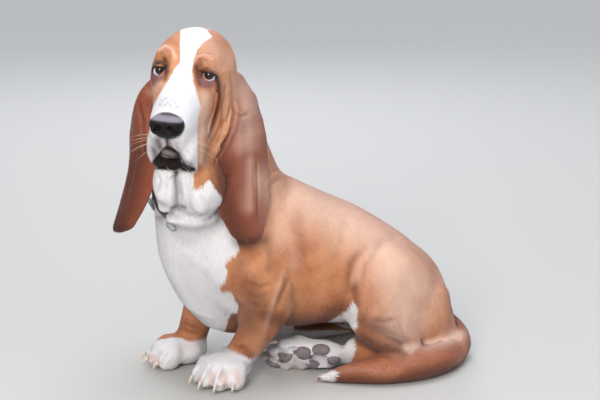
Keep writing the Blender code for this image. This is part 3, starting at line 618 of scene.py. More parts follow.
def eye_angles(local, side):
    """How far off the eye's axis points lie, sideways and upward in radians, and how far from its middle."""
    middle, sideways, up, out = eye_frame(side)
    arm = local - middle
    reach = np.maximum(np.linalg.norm(arm, axis=1), 1e-6)
    off_axis = np.arccos(np.clip(arm @ out / reach, -1, 1))
    a, b = arm @ sideways, arm @ up
    flat = np.maximum(np.hypot(a, b), 1e-6)
    return off_axis * a / flat, off_axis * b / flat, reach


def lid_measure(a, b):
    """1 on the edge of the opening, less inside, more outside."""
    edge = np.where(b > 0, EYE_UPPER, EYE_LOWER)
    sides = np.abs(a / EYE_HALF_WIDTH) ** LID_ROUNDNESS
    return (sides + np.abs(b / edge) ** LID_ROUNDNESS) ** (1 / LID_ROUNDNESS)


def open_eyes(skin):
    """Wrap the skin round each eyeball as lids, with an opening whose lower edge hangs."""
    points = points_of(skin.data)
    local = on_head(points)
    rim = np.zeros(len(points))
    liner = np.zeros(len(points))
    for side in SIDES:
        middle = np.array(EYES[side])
        a, b, reach = eye_angles(local, side)
        s = lid_measure(a, b)
        near = reach < LID_REACH
        lid = EYE_RADIUS + LID_GAP + LID_THICKNESS * step(1.0, LID_ROLL, s)
        wrapped = np.where(s < 1.0, EYE_RADIUS - OPENING_DEPTH, lid)
        outer = np.where(b > 0, UPPER_LID_END, LOWER_LID_END)
        hold = step(outer, LID_ROLL, s) * near
        radius = hold * wrapped + (1 - hold) * reach
        cover = near & (s > 1.0) & (np.hypot(a, b) < 1.5)
        radius = np.where(cover, np.maximum(radius, EYE_RADIUS + 1.3), radius)
        local = middle + (local - middle) / reach[:, None] * radius[:, None]
        rim = np.maximum(rim, step(1.34, 1.16, s) * near)
        outward = a if side == "left" else -a
        liner = np.maximum(liner, step(1.55, 1.15, s) * near * step(-0.5, 0.15, b + 0.3 * outward))
    set_points(skin.data, local * MM @ HEAD_TURN.T + np.array(HEAD_CENTRE))
    write_attribute(skin.data, "lid", rim)
    write_attribute(skin.data, "liner", liner)


# Markings, as shares from 0 to 1 at the skin's points, painted shade and painted highlights among them.
# Outlines and paths are named places in the photo, in its pixels. What the photo doesn't show follows rules of
# its own.

BLAZE = [(180, 20), (180, 33), (180, 63), (175, 68.5), (170, 78), (165, 86), (161, 92), (156, 101),
         (152, 110), (140, 116), (130, 165), (150, 174), (197, 172), (197.5, 163), (197, 147), (197, 130),
         (198, 117), (200, 107), (197.5, 97), (193, 83), (191.5, 72), (193.5, 60), (197, 50), (203, 43),
         (212, 37.5), (207, 30)]
BREAST = [(110, 162), (194, 166), (194, 186), (197, 189), (200, 186), (204, 184), (209, 179), (225, 200),
          (238.7, 247.5), (234, 255), (231, 256), (223.7, 262.5), (225, 265), (227.5, 270), (226, 274),
          (225, 280), (218.7, 286), (221, 292), (226, 290), (231, 291), (235, 300), (238.7, 303.7),
          (237.5, 311), (231, 312.5), (228.7, 318.7), (226, 331), (223.7, 339), (210, 345), (208, 328),
          (195, 320), (170, 306), (120, 292), (110, 262)]
NEAR_FOREPAW = [(170, 400), (185, 370), (221, 336), (224, 343), (232, 349), (243, 354), (252, 359),
                (257, 355), (270, 362), (270, 400)]
FAR_FOREPAW = [(120, 345), (176, 337), (183, 338), (190, 341), (200, 339), (210, 336), (214, 380), (120, 385)]
GROIN = [(353, 298), (358, 308), (359, 324), (349, 334), (312, 337), (316, 330), (333, 319), (346, 309)]
HIND_FOOT = [(250, 330), (352, 330), (356, 340), (357, 350), (350, 366), (300, 380), (250, 375)]
TAIL_TIP = [(310, 360), (340, 370), (345, 373), (340, 380), (343, 392), (310, 395)]

# What tints the tan, much of it painted shade and painted highlight: a path in the photo, how far the tint
# reaches in pixels, and its strength
TINTS = {
    # Darker brown in creases, under belly, knee, hock and tail, round the eyes and brows, and on the lower ears
    # and foreleg: painted shade
    "deep": [
        ("belly", [(262, 312), (290, 326), (318, 322), (340, 308)], 11, 0.75),
        ("under the flank", [(356, 300), (353, 284)], 6, 0.5),
        ("under the knee", [(366, 322), (384, 328), (400, 340)], 9, 0.8),
        ("behind the hock", [(362, 336), (380, 346), (398, 350)], 8, 0.8),
        ("along the tail", [(345, 381), (400, 380), (452, 367)], 8, 0.75),
        ("far brow", [(164, 53), (166, 56)], 3.6, 0.4),
        ("between the far knob and the eye", [(165, 59), (166, 66), (167, 72)], 3.2, 1.0),
        ("outer side of the far eye", [(152, 65), (151.5, 74), (154, 84)], 3.0, 0.9),
        ("over the far eye", [(155, 63), (161, 62)], 2.0, 0.9),
        ("near knob", [(201, 64), (202, 67)], 3.4, 0.4),
        ("over the near knob", [(200, 60), (205, 60)], 1.4, 0.45),
        ("inner side of the near eye", [(196, 67), (197, 73), (198, 79), (199.5, 84)], 3.4, 0.95),
        ("under the near knob", [(199, 71.5), (207, 69)], 2.2, 0.9),
        ("round the near eye", [(200, 75), (204, 70.5), (209, 69.5), (215, 73), (218, 79),
                                (217, 90)], 1.8, 0.85),
        ("round the far eye", [(153, 68), (157, 63.5), (162, 63), (166, 67), (168, 73),
                               (165, 80)], 1.8, 0.85),
        ("crease before the flap", [(225, 85), (221, 94), (219, 104)], 1.5, 0.8),
        ("far cheek", [(152, 82), (150, 104)], 3.5, 0.45),
        ("cheek crease", [(220, 84), (217, 112), (209, 136)], 2.6, 0.9),
        ("lower edge of the flap", [(224, 146), (215, 161), (213, 176)], 4, 0.6),
        ("beside the breast", [(240, 262), (236, 282)], 9, 0.35),
        ("near ear's front", [(222, 165), (226, 200), (238, 235)], 15, 0.9),
        ("far ear, low", [(138, 150), (127, 205), (116, 228)], 16, 0.95),
        ("far ear, high", [(139, 104), (137, 140)], 12, 0.4),
        ("near foreleg", [(246, 285), (256, 300), (250, 325)], 14, 0.6),
        ("foreleg's back edge", [(284, 278), (276, 306), (268, 338)], 3.0, 0.4),
        ("ear's turned edge", [(258, 152), (258, 214)], 2.0, 0.4),
        ("far ear by the throat", [(160, 205), (150, 214)], 4, 0.3),
        ("near wrist", [(242, 346), (254, 356)], 4, 0.5),
        ("far wrist", [(184, 322), (204, 332)], 7, 0.5),
        ("heel", [(395, 335), (409, 345)], 4, 0.8),
    ],
    # Pale pinkish cream where light should fall brighter, on back, thigh, neck, ridges, rolls, brows, cheek and
    # upper ears: painted highlight
    "cream": [
        ("foreleg's back", [(282, 270), (277, 290), (266, 326)], 3.0, 0.22),
        ("shoulder ridge", [(292, 203), (289, 235), (293, 262)], 7, 0.25),
        ("thigh's front edge", [(372, 248), (359, 262), (354, 278)], 4.5, 0.4),
        ("above the tail", [(406, 346), (434, 343), (460, 334)], 6, 0.8),
        ("neck", [(262, 178), (276, 200), (282, 235)], 14, 0.45),
        ("back", [(300, 196), (370, 232), (415, 285)], 27, 0.72),
        ("thigh", [(392, 262), (408, 315)], 26, 0.72),
        ("cheek", [(204, 96), (205, 132)], 6.5, 0.6),
        ("beside the muzzle", [(200, 112), (201, 160)], 4.5, 0.6),
        ("flap", [(226, 86), (229, 122)], 5.5, 0.25),
        ("flap, low", [(222, 132), (217, 150)], 4, 0.2),
        ("near ear, high", [(243, 88), (248, 108), (246, 140)], 13, 0.45),
        ("skull", [(206, 44), (222, 62)], 13, 0.3),
        ("arch over the near brow", [(193, 63), (197, 56.5), (204, 54.5), (213, 59)], 1.8, 0.45),
        ("arch over the far brow", [(158, 50), (165, 46), (172, 49.5), (175.5, 58)], 1.8, 0.5),
        ("folded hind leg", [(300, 332), (340, 334)], 4, 0.5),
        ("under the far eye", [(152, 92), (160, 84)], 4, 0.3),
        ("near ear, middle", [(250, 160), (248, 205)], 7, 0.3),
    ],
    # Near-black: dark skin at the lids' edges and eye corners, darker at the ears' hems, tip and front edge,
    # and painted shadow in the gap under the dewlap and the crease under the chin
    "dark": [
        ("outer corner of the near eye", [(213.5, 76), (217, 82), (216.5, 91)], 1.4, 0.85),
        ("near upper lid", [(203, 72.5), (208, 71), (213, 73)], 1.2, 0.8),
        ("inner corner of the near eye", [(200.5, 77), (203, 72.5)], 1.3, 0.8),
        ("far upper lid", [(151.5, 74), (152, 67), (156, 64), (162, 63.5)], 1.3, 0.8),
        ("inner corner of the far eye", [(162, 63.5), (166, 67), (166, 75)], 1.2, 0.7),
        ("near ear's hem", [(236, 240), (250, 242), (262, 238)], 6, 0.55),
        ("far ear's hem", [(112, 226), (126, 232)], 8, 0.55),
        ("under the dewlap", [(172, 207), (178, 204.5), (184, 206.5)], 2.2, 0.75),
        ("crease under the chin", [(170, 178), (174, 174), (177, 170)], 1.0, 0.45),
        ("near ear's front edge", [(224, 210), (232, 232)], 6, 0.25),
        ("far ear's tip", [(118, 215), (112, 232)], 6, 0.35),
    ],
    "stain": [
        ("second toe", [(213, 374), (211, 382)], 3.2, 0.55),
        ("third toe", [(224, 374), (225, 384)], 4.0, 0.6),
        ("outer toe", [(236, 372), (239, 381)], 4.0, 0.5),
        ("inner toe", [(200, 378), (197, 385)], 2.8, 0.45),
        ("far toes", [(151, 356), (158, 366)], 4, 0.6),
        ("top of the far forepaw", [(196, 342), (186, 346)], 5, 0.2),
        ("near wrist", [(226, 338), (232, 346)], 2.5, 0.4),
        ("sole", [(258, 352), (300, 372)], 6, 0.25),
    ],
    "shade": [
        ("under the nose", [(158, 140), (160, 147)], 4.5, 0.9),
        ("beside the groove", [(167, 140), (170, 147)], 4.0, 0.85),
        ("far flew", [(154, 149), (156, 158)], 3.5, 0.8),
        ("near flew's inner edge", [(176, 144), (178, 150)], 2.5, 0.45),
        ("near lip", [(178, 151), (182, 157), (186, 162), (192, 165)], 2.2, 0.55),
    ],
    "mauve": [
        ("near lower lid", [(200, 80), (202, 84), (207, 86), (213, 85)], 2.6, 0.85),
        ("inner end of the near lower lid", [(201.5, 78), (205, 82.5), (209, 84.5)], 2.0, 0.9),
        ("far lower lid", [(154, 77), (158, 80), (163, 78)], 2.2, 0.8),
        ("inner end of the far lower lid", [(160, 79), (164, 76), (165.5, 73)], 1.8, 0.85),
    ],
    # Grey: greyish hair on the muzzle, flews and sole, and painted shadow between and under the dewlap's lobes
    "grey": [
        ("under the nose", [(157, 139), (168, 143), (177, 140)], 4, 0.45),
        ("far flew", [(152, 146), (156, 157)], 4, 0.5),
        ("near flew", [(180, 150), (190, 163)], 5, 0.22),
        ("bridge of the nose", [(160, 106), (178, 108)], 4, 0.25),
        ("above the freckles", [(162, 100), (174, 101)], 5, 0.12),
        ("between the dewlaps", [(176, 172), (178, 188), (178, 207)], 1.6, 0.55),
        ("under the far lobe", [(155, 214), (162, 217), (169, 215), (175, 209)], 1.6, 0.75),
        ("under the near lobe", [(180, 208), (188, 213), (198, 216.5), (208, 215.5), (216, 210)], 1.7, 0.8),
        ("sole", [(262, 362), (290, 366), (345, 360)], 9, 0.32),
    ],
}
FRECKLES = [(162, 101), (165.5, 99), (168, 102.5), (172, 100.5), (174.5, 103), (170.5, 105.5), (165, 105.5),
            (160, 105), (177, 107), (157, 150), (161, 147), (180, 152), (184, 156), (188, 151), (186, 160),
            (179, 158), (155, 144), (190, 164)]


def white_unseen(points, local, part):
    """White on the side turned from the camera: muzzle, breast, feet and belly."""
    x, y, z = local.T
    brink = np.interp(z, [-130, -60, -24, 9, 30], [-80, -78, -68, -56, -70])
    muzzle = step(3, -3, y - brink) * belongs(part, "head", "jaw")
    crown = step(16, 10, np.abs(x - 3)) * step(58, 46, y) * step(20, 30, z) * belongs(part, "head")
    world_x, world_y, world_z = points.T
    brink = np.interp(world_z, [0.30, 0.35, 0.42], [-0.340, -0.375, -0.430])
    breast = (step(0.010, -0.010, world_y + 0.30 * (world_x + 0.02) - brink) * step(0.43, 0.415, world_z)
              * step(-0.112, -0.098, world_x) * belongs(part, "neck", "chest", "jaw"))
    feet = step(0.064, 0.054, world_z) * belongs(part, "paw_", "forearm")
    middle = step(0.05, 0.0, np.abs(world_x + 0.03) - 0.03)
    belly = step(0.100, 0.080, world_z) * middle * belongs(part, "loin")
    return np.max([muzzle, crown, breast, feet, belly], axis=0)


WHITE_PATCHES = [             # outline, and the nodes whose skin it whitens
    (BLAZE, ("head", "jaw")),
    (BREAST, ("neck", "chest", "head", "jaw", "upper_arm_left")),
    (NEAR_FOREPAW, ("paw_fore_left", "forearm_left")),
    (FAR_FOREPAW, ("paw_fore_right", "forearm_right")),
    (GROIN, ("loin", "chest", "rump", "thigh", "shank", "upper_arm")),
    (HIND_FOOT, ("paw_hind", "hock", "shank")),
    (TAIL_TIP, ("tail_",)),
]


def white_seen(pixels, part):
    """White where the photo shows it."""
    white = np.zeros(len(part))
    for outline, stems in WHITE_PATCHES:
        chosen = belongs(part, *stems)
        white[chosen] = np.maximum(white[chosen], step(-1.7, 1.7, inside(outline, pixels[chosen])))
    return white


def tint_hidden_side(marks, points, normals, part, edges, hidden):
    """Carry the painted highlight of the back, the painted shade low on the legs and the painted shade under
    the belly round to the side turned from the camera.
    """
    trunk = belongs(part, "head", "neck", "chest", "loin", "rump", "thigh")
    # Painted highlight: paler where the trunk's skin faces up
    painted_back_highlight = 0.5 * step(-0.1, 0.9, normals[:, 2]) * relax(trunk * 1.0, edges, 12)
    marks["cream"] = np.maximum(marks["cream"], painted_back_highlight * hidden)
    legs = belongs(part, "forearm", "shank", "hock", "thigh", "tail_")
    # Painted shade: legs darker toward the floor
    painted_leg_shade = 0.5 * step(0.20, 0.06, points[:, 2]) * legs
    marks["deep"] = np.maximum(marks["deep"], relax(painted_leg_shade, edges, 12) * hidden)
    # Painted shade: darker where chest, loin and rump face down
    belly = step(-0.2, -0.8, normals[:, 2]) * belongs(part, "chest", "loin", "rump") * 0.7
    marks["deep"] = np.maximum(marks["deep"], belly)


def mark_face(marks, skin, pixels, shown):
    """The mouth's dark patch, dark lip skin and painted shade under the flews, the chin in it, the lips, the
    groove under the nose and the freckles.
    """
    # The mouth: dark lip skin, with painted shade under the flews
    marks["mouth"] = step(-1.4, 1.2, inside(MOUTH_OUTLINE, pixels)) * shown
    marks["chin"] = step(-2.0, 2.2, inside(CHIN_OUTLINE, pixels)) * shown
    lips = np.exp(-((distance_to_path(pixels, LIP_EDGE)[0] - 0.3) / 1.3) ** 2) * shown
    groove = 0.6 * np.exp(-(distance_to_path(pixels, PHILTRUM)[0] / 1.0) ** 2) * shown
    freckles = np.zeros(len(pixels))
    for spot in FRECKLES:
        gap = np.linalg.norm(pixels - spot, axis=1)
        freckles = np.maximum(freckles, 0.38 * np.exp(-(gap / 1.1) ** 2))
    liner = 0.92 * read_attribute(skin.data, "liner")
    marks["dark"] = np.max([marks["dark"], lips, groove, freckles * shown, liner], axis=0)


def mark_skin(skin):
    """Write every marking, with the painted shade and painted highlights, and the lie of the coat, at the
    skin's points.
    """
    points = points_of(skin.data)
    normals = normals_of(skin.data)
    pixels = in_photo(points)
    part = parts_of(skin.data)
    edges = edges_of(skin.data)
    seen = shown_in_photo(skin.data, 30)
    white = seen * white_seen(pixels, part) + (1 - seen) * white_unseen(points, on_head(points), part)
    white = np.maximum(white, belongs(part, "paw_hind"))
    marks = {"white": relax(white, edges, 1)}
    for key, strokes in TINTS.items():
        share = np.zeros(len(part))
        for _, path, reach, strength in strokes:
            gap, _ = distance_to_path(pixels, path)
            share = np.maximum(share, strength * np.exp(-(gap / reach) ** 2))
        marks[key] = share * seen
    tint_hidden_side(marks, points, normals, part, edges, 1 - seen)
    red = 0.85 * belongs(part, "ear_") + 0.5 * belongs(part, "tail_") + 0.25 * belongs(part, "hock", "shank")
    tan_flap = step(-0.8, 0.8, inside(FLAP, pixels)) * seen
    marks["red"] = relax(red, edges, 14) * (1 - tan_flap)
    mark_face(marks, skin, pixels, seen * belongs(part, "head", "jaw", "neck"))
    for key, values in marks.items():
        write_attribute(skin.data, key, np.clip(values, 0, 1))
    write_attribute(skin.data, "lie", lie_of_coat(points, normals, edges))


# Materials

def linear(code):
    """An sRGB hex colour as linear RGBA."""
    channels = [int(code[i:i + 2], 16) / 255 for i in (1, 3, 5)]
    return (*[c / 12.92 if c <= 0.04045 else ((c + 0.055) / 1.055) ** 2.4 for c in channels], 1.0)


def node(tree, kind, inputs=None, **settings):
    """Add a node; an input is a number, a colour or vector, or (node, output) to link."""
    made = tree.nodes.new("ShaderNode" + kind)
    for name, value in settings.items():
        setattr(made, name, value)
    for socket, value in (inputs or {}).items():
        if isinstance(value, tuple) and isinstance(value[0], bpy.types.Node):
            tree.links.new(value[0].outputs[value[1]], made.inputs[socket])
        else:
            made.inputs[socket].default_value = value
    return made


def per_metre(size):
    """The scale of a texture whose pattern is this many millimetres wide."""
    return 1000.0 / size


def new_material(name):
    material = bpy.data.materials.new(name)
    material.use_nodes = True
    tree = material.node_tree
    tree.nodes.clear()
    return material, tree


def finish_surface(tree, shader):
    node(tree, "OutputMaterial", {"Surface": (shader, "BSDF")})


def mixed(tree, share, first, second):
    """Blend two colours by a share: colours are hex codes or (node, output)."""
    a, b = (linear(c) if isinstance(c, str) else c for c in (first, second))
    return node(tree, "Mix", {0: share, 6: a, 7: b}, data_type="RGBA"), 2


TAN_LIGHT = "#d3966a"
TAN_DEEP = "#b66d42"
COAT_WHITE = "#e4e2e3"
# Further colours of the coat in the order they are laid on, each where the attribute of its name is written:
# redder hair, a dark brown that is painted shade, and a pale cream that is painted highlight
COAT_LAYERS = [("red", "#92452f"), ("deep", "#622d18"), ("cream", "#f0d0bb")]
# Laid on skin and coat alike: pink stains; grey hair and painted shadow under the dewlap; painted shade under
# the nose and by the lips; mauve lower lids; the mouth's dark lip skin with painted shade; near-black skin and
# painted shadow; the chin's grey hair, darkened as painted shade
SKIN_LAYERS = [("stain", "#dcae9c"), ("grey", "#a89ca6"), ("shade", "#5d4c4f"),
               ("mauve", "#805a60"), ("mouth", "#1e0d0a"), ("dark", "#1c1314"),
               ("chin", "#8b7c79")]


def laid_on(tree, colour, layers):
    for name, code in layers:
        mark = node(tree, "Attribute", attribute_name=name)
        colour = mixed(tree, (mark, "Fac"), colour, code)
    return colour


TAN_PATCH = 71.4              # mm, lighter and darker tans
RAGGED_EDGE = 4.17            # mm, where tan hair lies over white
FUR_GRAIN = 0.909             # mm, a few short hairs together
BARE_BLOTCH = 11.1            # mm, on nose and pads


def coat_colour(tree):
    """The dog's markings: tan over all, redder ears and tail, white where it is written, dark lips, with
    painted shade and painted highlights laid over.
    """
    place = node(tree, "TexCoord")
    patches = node(tree, "TexNoise", {"Vector": (place, "Object"), "Scale": per_metre(TAN_PATCH),
                                      "Detail": 4.0, "Roughness": 0.6})
    share = node(tree, "MapRange", {"Value": (patches, "Fac"), "From Min": 0.32, "From Max": 0.70})
    colour = mixed(tree, (share, "Result"), TAN_LIGHT, TAN_DEEP)
    colour = laid_on(tree, colour, COAT_LAYERS)
    ragged = node(tree, "TexNoise", {"Vector": (place, "Object"), "Scale": per_metre(RAGGED_EDGE),
                                     "Detail": 3.0})
    white = node(tree, "Attribute", attribute_name="white")
    pushed = node(tree, "Math", {0: (ragged, "Fac"), 1: 0.7, 2: (white, "Fac")}, operation="MULTIPLY_ADD")
    edge = node(tree, "MapRange", {"Value": (pushed, "Value"), "From Min": 0.68, "From Max": 1.02})
    colour = mixed(tree, (edge, "Result"), colour, COAT_WHITE)
    return laid_on(tree, colour, SKIN_LAYERS), place


def skin_material():
    """Skin seen through very short fur: matt, its relief of hairs drawn out along their lie."""
    material, tree = new_material("short fur on skin")
    colour, place = coat_colour(tree)
    lie = node(tree, "Attribute", attribute_name="lie")
    along = node(tree, "VectorMath", {0: (place, "Object"), 1: (lie, "Vector")}, operation="DOT_PRODUCT")
    back = node(tree, "VectorMath", {0: (lie, "Vector"), 3: (along, "Value")}, operation="SCALE")
    most = node(tree, "VectorMath", {0: (back, "Vector"), 3: 0.86}, operation="SCALE")
    drawn_out = node(tree, "VectorMath", {0: (place, "Object"), 1: (most, "Vector")}, operation="SUBTRACT")
    grain = node(tree, "TexNoise", {"Vector": (drawn_out, "Vector"), "Scale": per_metre(FUR_GRAIN),
                                    "Detail": 2.0})
    relief = node(tree, "Bump", {"Height": (grain, "Fac"), "Strength": 0.5, "Distance": 0.5 * MM})
    shader = node(tree, "BsdfPrincipled", {"Base Color": colour, "Roughness": 0.8,
                                           "Normal": (relief, "Normal"), "Specular IOR Level": 0.2})
    finish_surface(tree, shader)
    return material


def hair_material():
    """Dog hair: keratin, with a soft shine along the lie of the coat; each tuft has its own tone."""
    material, tree = new_material("dog hair")
    colour, _ = coat_colour(tree)
    tone = node(tree, "Attribute", attribute_name="tone")
    toned = node(tree, "HueSaturation", {"Value": (tone, "Fac"), "Color": colour})
    shader = node(tree, "BsdfPrincipled", {"Base Color": (toned, "Color"), "Roughness": 0.5,
                                           "Sheen Weight": 0.18, "Sheen Roughness": 0.5,
                                           "Sheen Tint": linear("#e4e8ff")})
    finish_surface(tree, shader)
    return material


# Where pupil, iris and its dark rim end, softly, off the gaze in radians
EYE_RINGS = [(0.26, 0.34), (0.48, 0.62), (0.65, 0.73)]


def eyeball_material():
    """A living eye: dark pupil, brown streaked iris with a dark rim, and a pinkish white, under wet gloss."""
    material, tree = new_material("wet eyeball")
    off_gaze = node(tree, "Attribute", attribute_name="off_gaze")
    streak = node(tree, "Attribute", attribute_name="streak")      # on the unit circle round the gaze
    fibres = node(tree, "TexNoise", {"Vector": (streak, "Vector"), "Scale": 9.0, "Detail": 3.0})
    iris = mixed(tree, (fibres, "Fac"), "#130907", "#3a1d11")
    veins = node(tree, "TexNoise", {"Vector": (streak, "Vector"), "Scale": 5.0, "Detail": 5.0,
                                    "Roughness": 0.7})
    vein_share = node(tree, "MapRange", {"Value": (veins, "Fac"), "From Min": 0.52, "From Max": 0.72,
                                         "To Max": 0.6})
    white = mixed(tree, (vein_share, "Result"), "#cfc4cc", "#9c5f5c")
    colour = "#050404"
    for (start, end), beyond in zip(EYE_RINGS, (iris, "#120c0c", white)):
        ring = node(tree, "MapRange", {"Value": (off_gaze, "Fac"), "From Min": start, "From Max": end})
        colour = mixed(tree, (ring, "Result"), colour, beyond)
    shader = node(tree, "BsdfPrincipled", {"Base Color": colour, "Roughness": 0.12, "Coat Weight": 0.2,
                                           "Specular IOR Level": 0.35, "Coat Roughness": 0.02})
    finish_surface(tree, shader)
    return material


def speckled_material(name, light, dark, grain, height, **settings):
    """A stuff with a mottled colour and a relief of the same grain, both in millimetres; the caller's
    comment says which stuff."""
    material, tree = new_material(name)
    place = node(tree, "TexCoord")
    mottle = node(tree, "TexNoise", {"Vector": (place, "Object"), "Scale": per_metre(grain),
                                     "Detail": 4.0, "Roughness": 0.65})
    colour = mixed(tree, (mottle, "Fac"), light, dark)
    relief = node(tree, "Bump", {"Height": (mottle, "Fac"), "Strength": 0.6, "Distance": height * MM})
    inputs = {"Base Color": colour, "Normal": (relief, "Normal")}
    inputs.update({key.replace("_", " ").title(): value for key, value in settings.items()})
    finish_surface(tree, node(tree, "BsdfPrincipled", inputs))
    return material


def pebbled_material(name, light, dark, pebble, height, roughness):
    """Bare skin of nose or pads: pebbles, their width and height in millimetres, and furrows between, painted
    darker as painted shade.
    """
    material, tree = new_material(name)
    place = node(tree, "TexCoord")
    cells = node(tree, "TexVoronoi", {"Vector": (place, "Object"), "Scale": per_metre(pebble)})
    furrow = node(tree, "MapRange", {"Value": (cells, "Distance"), "From Min": 0.35, "From Max": 0.75})
    blotch = node(tree, "TexNoise", {"Vector": (place, "Object"), "Scale": per_metre(BARE_BLOTCH),
                                     "Detail": 3.0})
    base = mixed(tree, (blotch, "Fac"), light, dark)
    colour = mixed(tree, (furrow, "Result"), base, dark)
    # Where the sky attribute is written, on the nose's top, a lilac-grey is laid on: a painted sky reflection
    colour = laid_on(tree, colour, [("sky", "#98929f")])
    relief = node(tree, "Bump", {"Height": (furrow, "Result"), "Strength": 0.8, "Distance": height * MM})
    relief.invert = True
    shader = node(tree, "BsdfPrincipled", {"Base Color": colour, "Roughness": roughness,
                                           "Normal": (relief, "Normal"), "Specular IOR Level": 0.2})
    finish_surface(tree, shader)
    return material


# The lie of the coat: a place in metres, and the way the hair points there
LIE_BODY = [
    ("nape", (-0.050, -0.280, 0.420), (0.0, 0.50, -0.85)),
    ("withers", (-0.045, -0.210, 0.330), (0.0, 0.75, -0.65)),
    ("middle of the back", (-0.030, -0.130, 0.290), (0.0, 0.85, -0.50)),
    ("croup", (-0.010, -0.020, 0.210), (0.0, 0.75, -0.65)),
    ("rump", (0.000, 0.060, 0.100), (0.0, 0.20, -1.00)),
    ("near ribs", (0.070, -0.200, 0.220), (0.05, 0.70, -0.70)),
    ("far ribs", (-0.140, -0.200, 0.200), (0.0, 0.70, -0.70)),
    ("belly", (-0.030, -0.150, 0.080), (0.0, 0.90, -0.20)),
    ("breast", (0.000, -0.440, 0.280), (0.0, 0.05, -1.00)),
    ("keel", (-0.020, -0.400, 0.150), (0.0, 0.40, -0.90)),
    ("throat", (0.030, -0.430, 0.360), (0.0, -0.10, -1.00)),
    ("near shoulder", (0.060, -0.340, 0.260), (0.0, 0.35, -0.95)),
    ("near elbow", (0.080, -0.290, 0.160), (-0.10, -0.10, -1.00)),
    ("far shoulder", (-0.150, -0.330, 0.250), (0.0, 0.30, -0.95)),
    ("near forearm", (0.030, -0.320, 0.090), (-0.20, -0.15, -1.00)),
    ("far forearm", (-0.120, -0.360, 0.090), (0.0, -0.15, -1.00)),
    ("near forepaw", (0.020, -0.370, 0.050), (0.50, -0.65, -0.50)),
    ("far forepaw", (-0.120, -0.410, 0.050), (-0.15, -0.85, -0.50)),
    ("near thigh", (0.090, -0.050, 0.170), (0.05, -0.10, -1.00)),
    ("near knee", (0.100, -0.140, 0.100), (0.0, 0.30, -0.90)),
    ("near shank", (0.110, -0.080, 0.060), (0.0, 0.70, -0.60)),
    ("near hock", (0.080, -0.080, 0.040), (-0.40, -0.90, 0.0)),
    ("near hind foot", (0.010, -0.200, 0.050), (-0.50, -0.80, 0.0)),
    ("far thigh", (-0.120, -0.050, 0.130), (0.0, -0.20, -0.95)),
    ("far shank", (-0.120, -0.100, 0.050), (0.0, 0.50, -0.80)),
    ("far hock", (-0.120, -0.100, 0.020), (0.0, -1.00, -0.10)),
    ("far hind foot", (-0.125, -0.210, 0.030), (0.0, -1.00, -0.30)),
    ("tail's root", (0.020, 0.070, 0.045), (0.95, 0.20, -0.10)),
    ("tail's bend", (0.086, 0.050, 0.030), (0.70, -0.70, 0.0)),
    ("tail's middle", (0.126, -0.050, 0.030), (0.0, -1.00, 0.0)),
    ("tail's tip", (0.094, -0.158, 0.020), (-0.50, -0.85, 0.0)),
    ("near ear, high", (0.060, -0.340, 0.400), (0.15, 0.0, -1.00)),
    ("near ear, low", (0.065, -0.340, 0.300), (0.10, 0.10, -1.00)),
    ("far ear, high", (-0.060, -0.480, 0.400), (-0.10, 0.0, -1.00)),
    ("far ear, low", (-0.070, -0.495, 0.300), (-0.20, -0.20, -1.00)),
]
# The same on the head, in its own millimetres; what lies off its middle is mirrored
LIE_HEAD = [
    ("bridge of the nose", (0, -105, -20), (0.0, 1.0, 0.3)),
    ("between the eyes", (0, -60, 10), (0.0, 1.0, 0.5)),
    ("forehead", (0, -20, 38), (0.0, 1.0, 0.6)),
    ("crown", (0, 40, 52), (0.0, 1.0, -0.1)),
    ("temple", (60, 10, -10), (0.2, 0.7, -0.7)),
    ("cheek", (52, -20, -60), (0.0, 0.4, -0.9)),
    ("flew", (36, -85, -70), (0.2, 0.35, -0.9)),
    ("upper lip", (0, -125, -75), (0.0, 0.0, -1.0)),
    ("under the eye", (36, -40, 0), (0.6, 0.6, -0.5)),
    ("brow", (30, -20, 34), (0.5, 0.8, 0.4)),
    ("back of the skull", (0, 90, 20), (0.0, 0.6, -0.8)),
]


def laid_down(ways, normals):
    """Directions pressed flat onto the skin."""
    return unit(ways - normals * np.sum(ways * normals, axis=1)[:, None])


def lie_of_coat(points, normals, edges):
    """Unit vectors along the skin, blended between the guides."""
    guides = [(place, way) for _, place, way in LIE_BODY]
    for _, (x, y, z), (across, back, up) in LIE_HEAD:
        for side in (1, -1) if x else (1,):
            guides.append((head_point(side * x, y, z), HEAD_TURN @ np.array((side * across, back, up))))
    places, ways = (np.array(column) for column in zip(*guides))
    lie = np.zeros_like(points)
    for place, way in zip(places, unit(ways)):
        gap = np.linalg.norm(points - place, axis=1)
        lie += way / (gap[:, None] ** 4 + 1e-8)
    lie = relax(laid_down(unit(lie), normals), edges, 12)
    return laid_down(lie, normals)


# Length, width and lift of the tufts in millimetres on each part, and how many stand on a square centimetre
COAT = {
    "head": (4.0, 0.42, 0.30, 105), "jaw": (3.0, 0.4, 0.3, 70), "ear_": (6.5, 0.55, 0.42, 62),
    "neck": (8.0, 0.65, 0.60, 46), "chest": (10.0, 0.75, 0.80, 36), "loin": (10.5, 0.80, 0.80, 30),
    "rump": (11.0, 0.80, 0.90, 30), "thigh": (11.0, 0.80, 0.90, 30), "upper_arm": (9.0, 0.70, 0.70, 38),
    "forearm": (7.0, 0.60, 0.55, 48), "shank": (9.0, 0.70, 0.80, 38), "hock": (6.0, 0.55, 0.55, 48),
    "paw_": (4.0, 0.45, 0.32, 75), "tail_": (16.0, 0.85, 1.6, 50),
}
PER_SQUARE_CM = 1e4            # in one per square metre
COAT_PIECE_LIMIT = 195000     # triangles
TONE_SPREAD = 0.055           # how much one tuft differs from the next, more on tail and ears
UV_PATCH = 0.003              # width of a tuft's patch of the texture

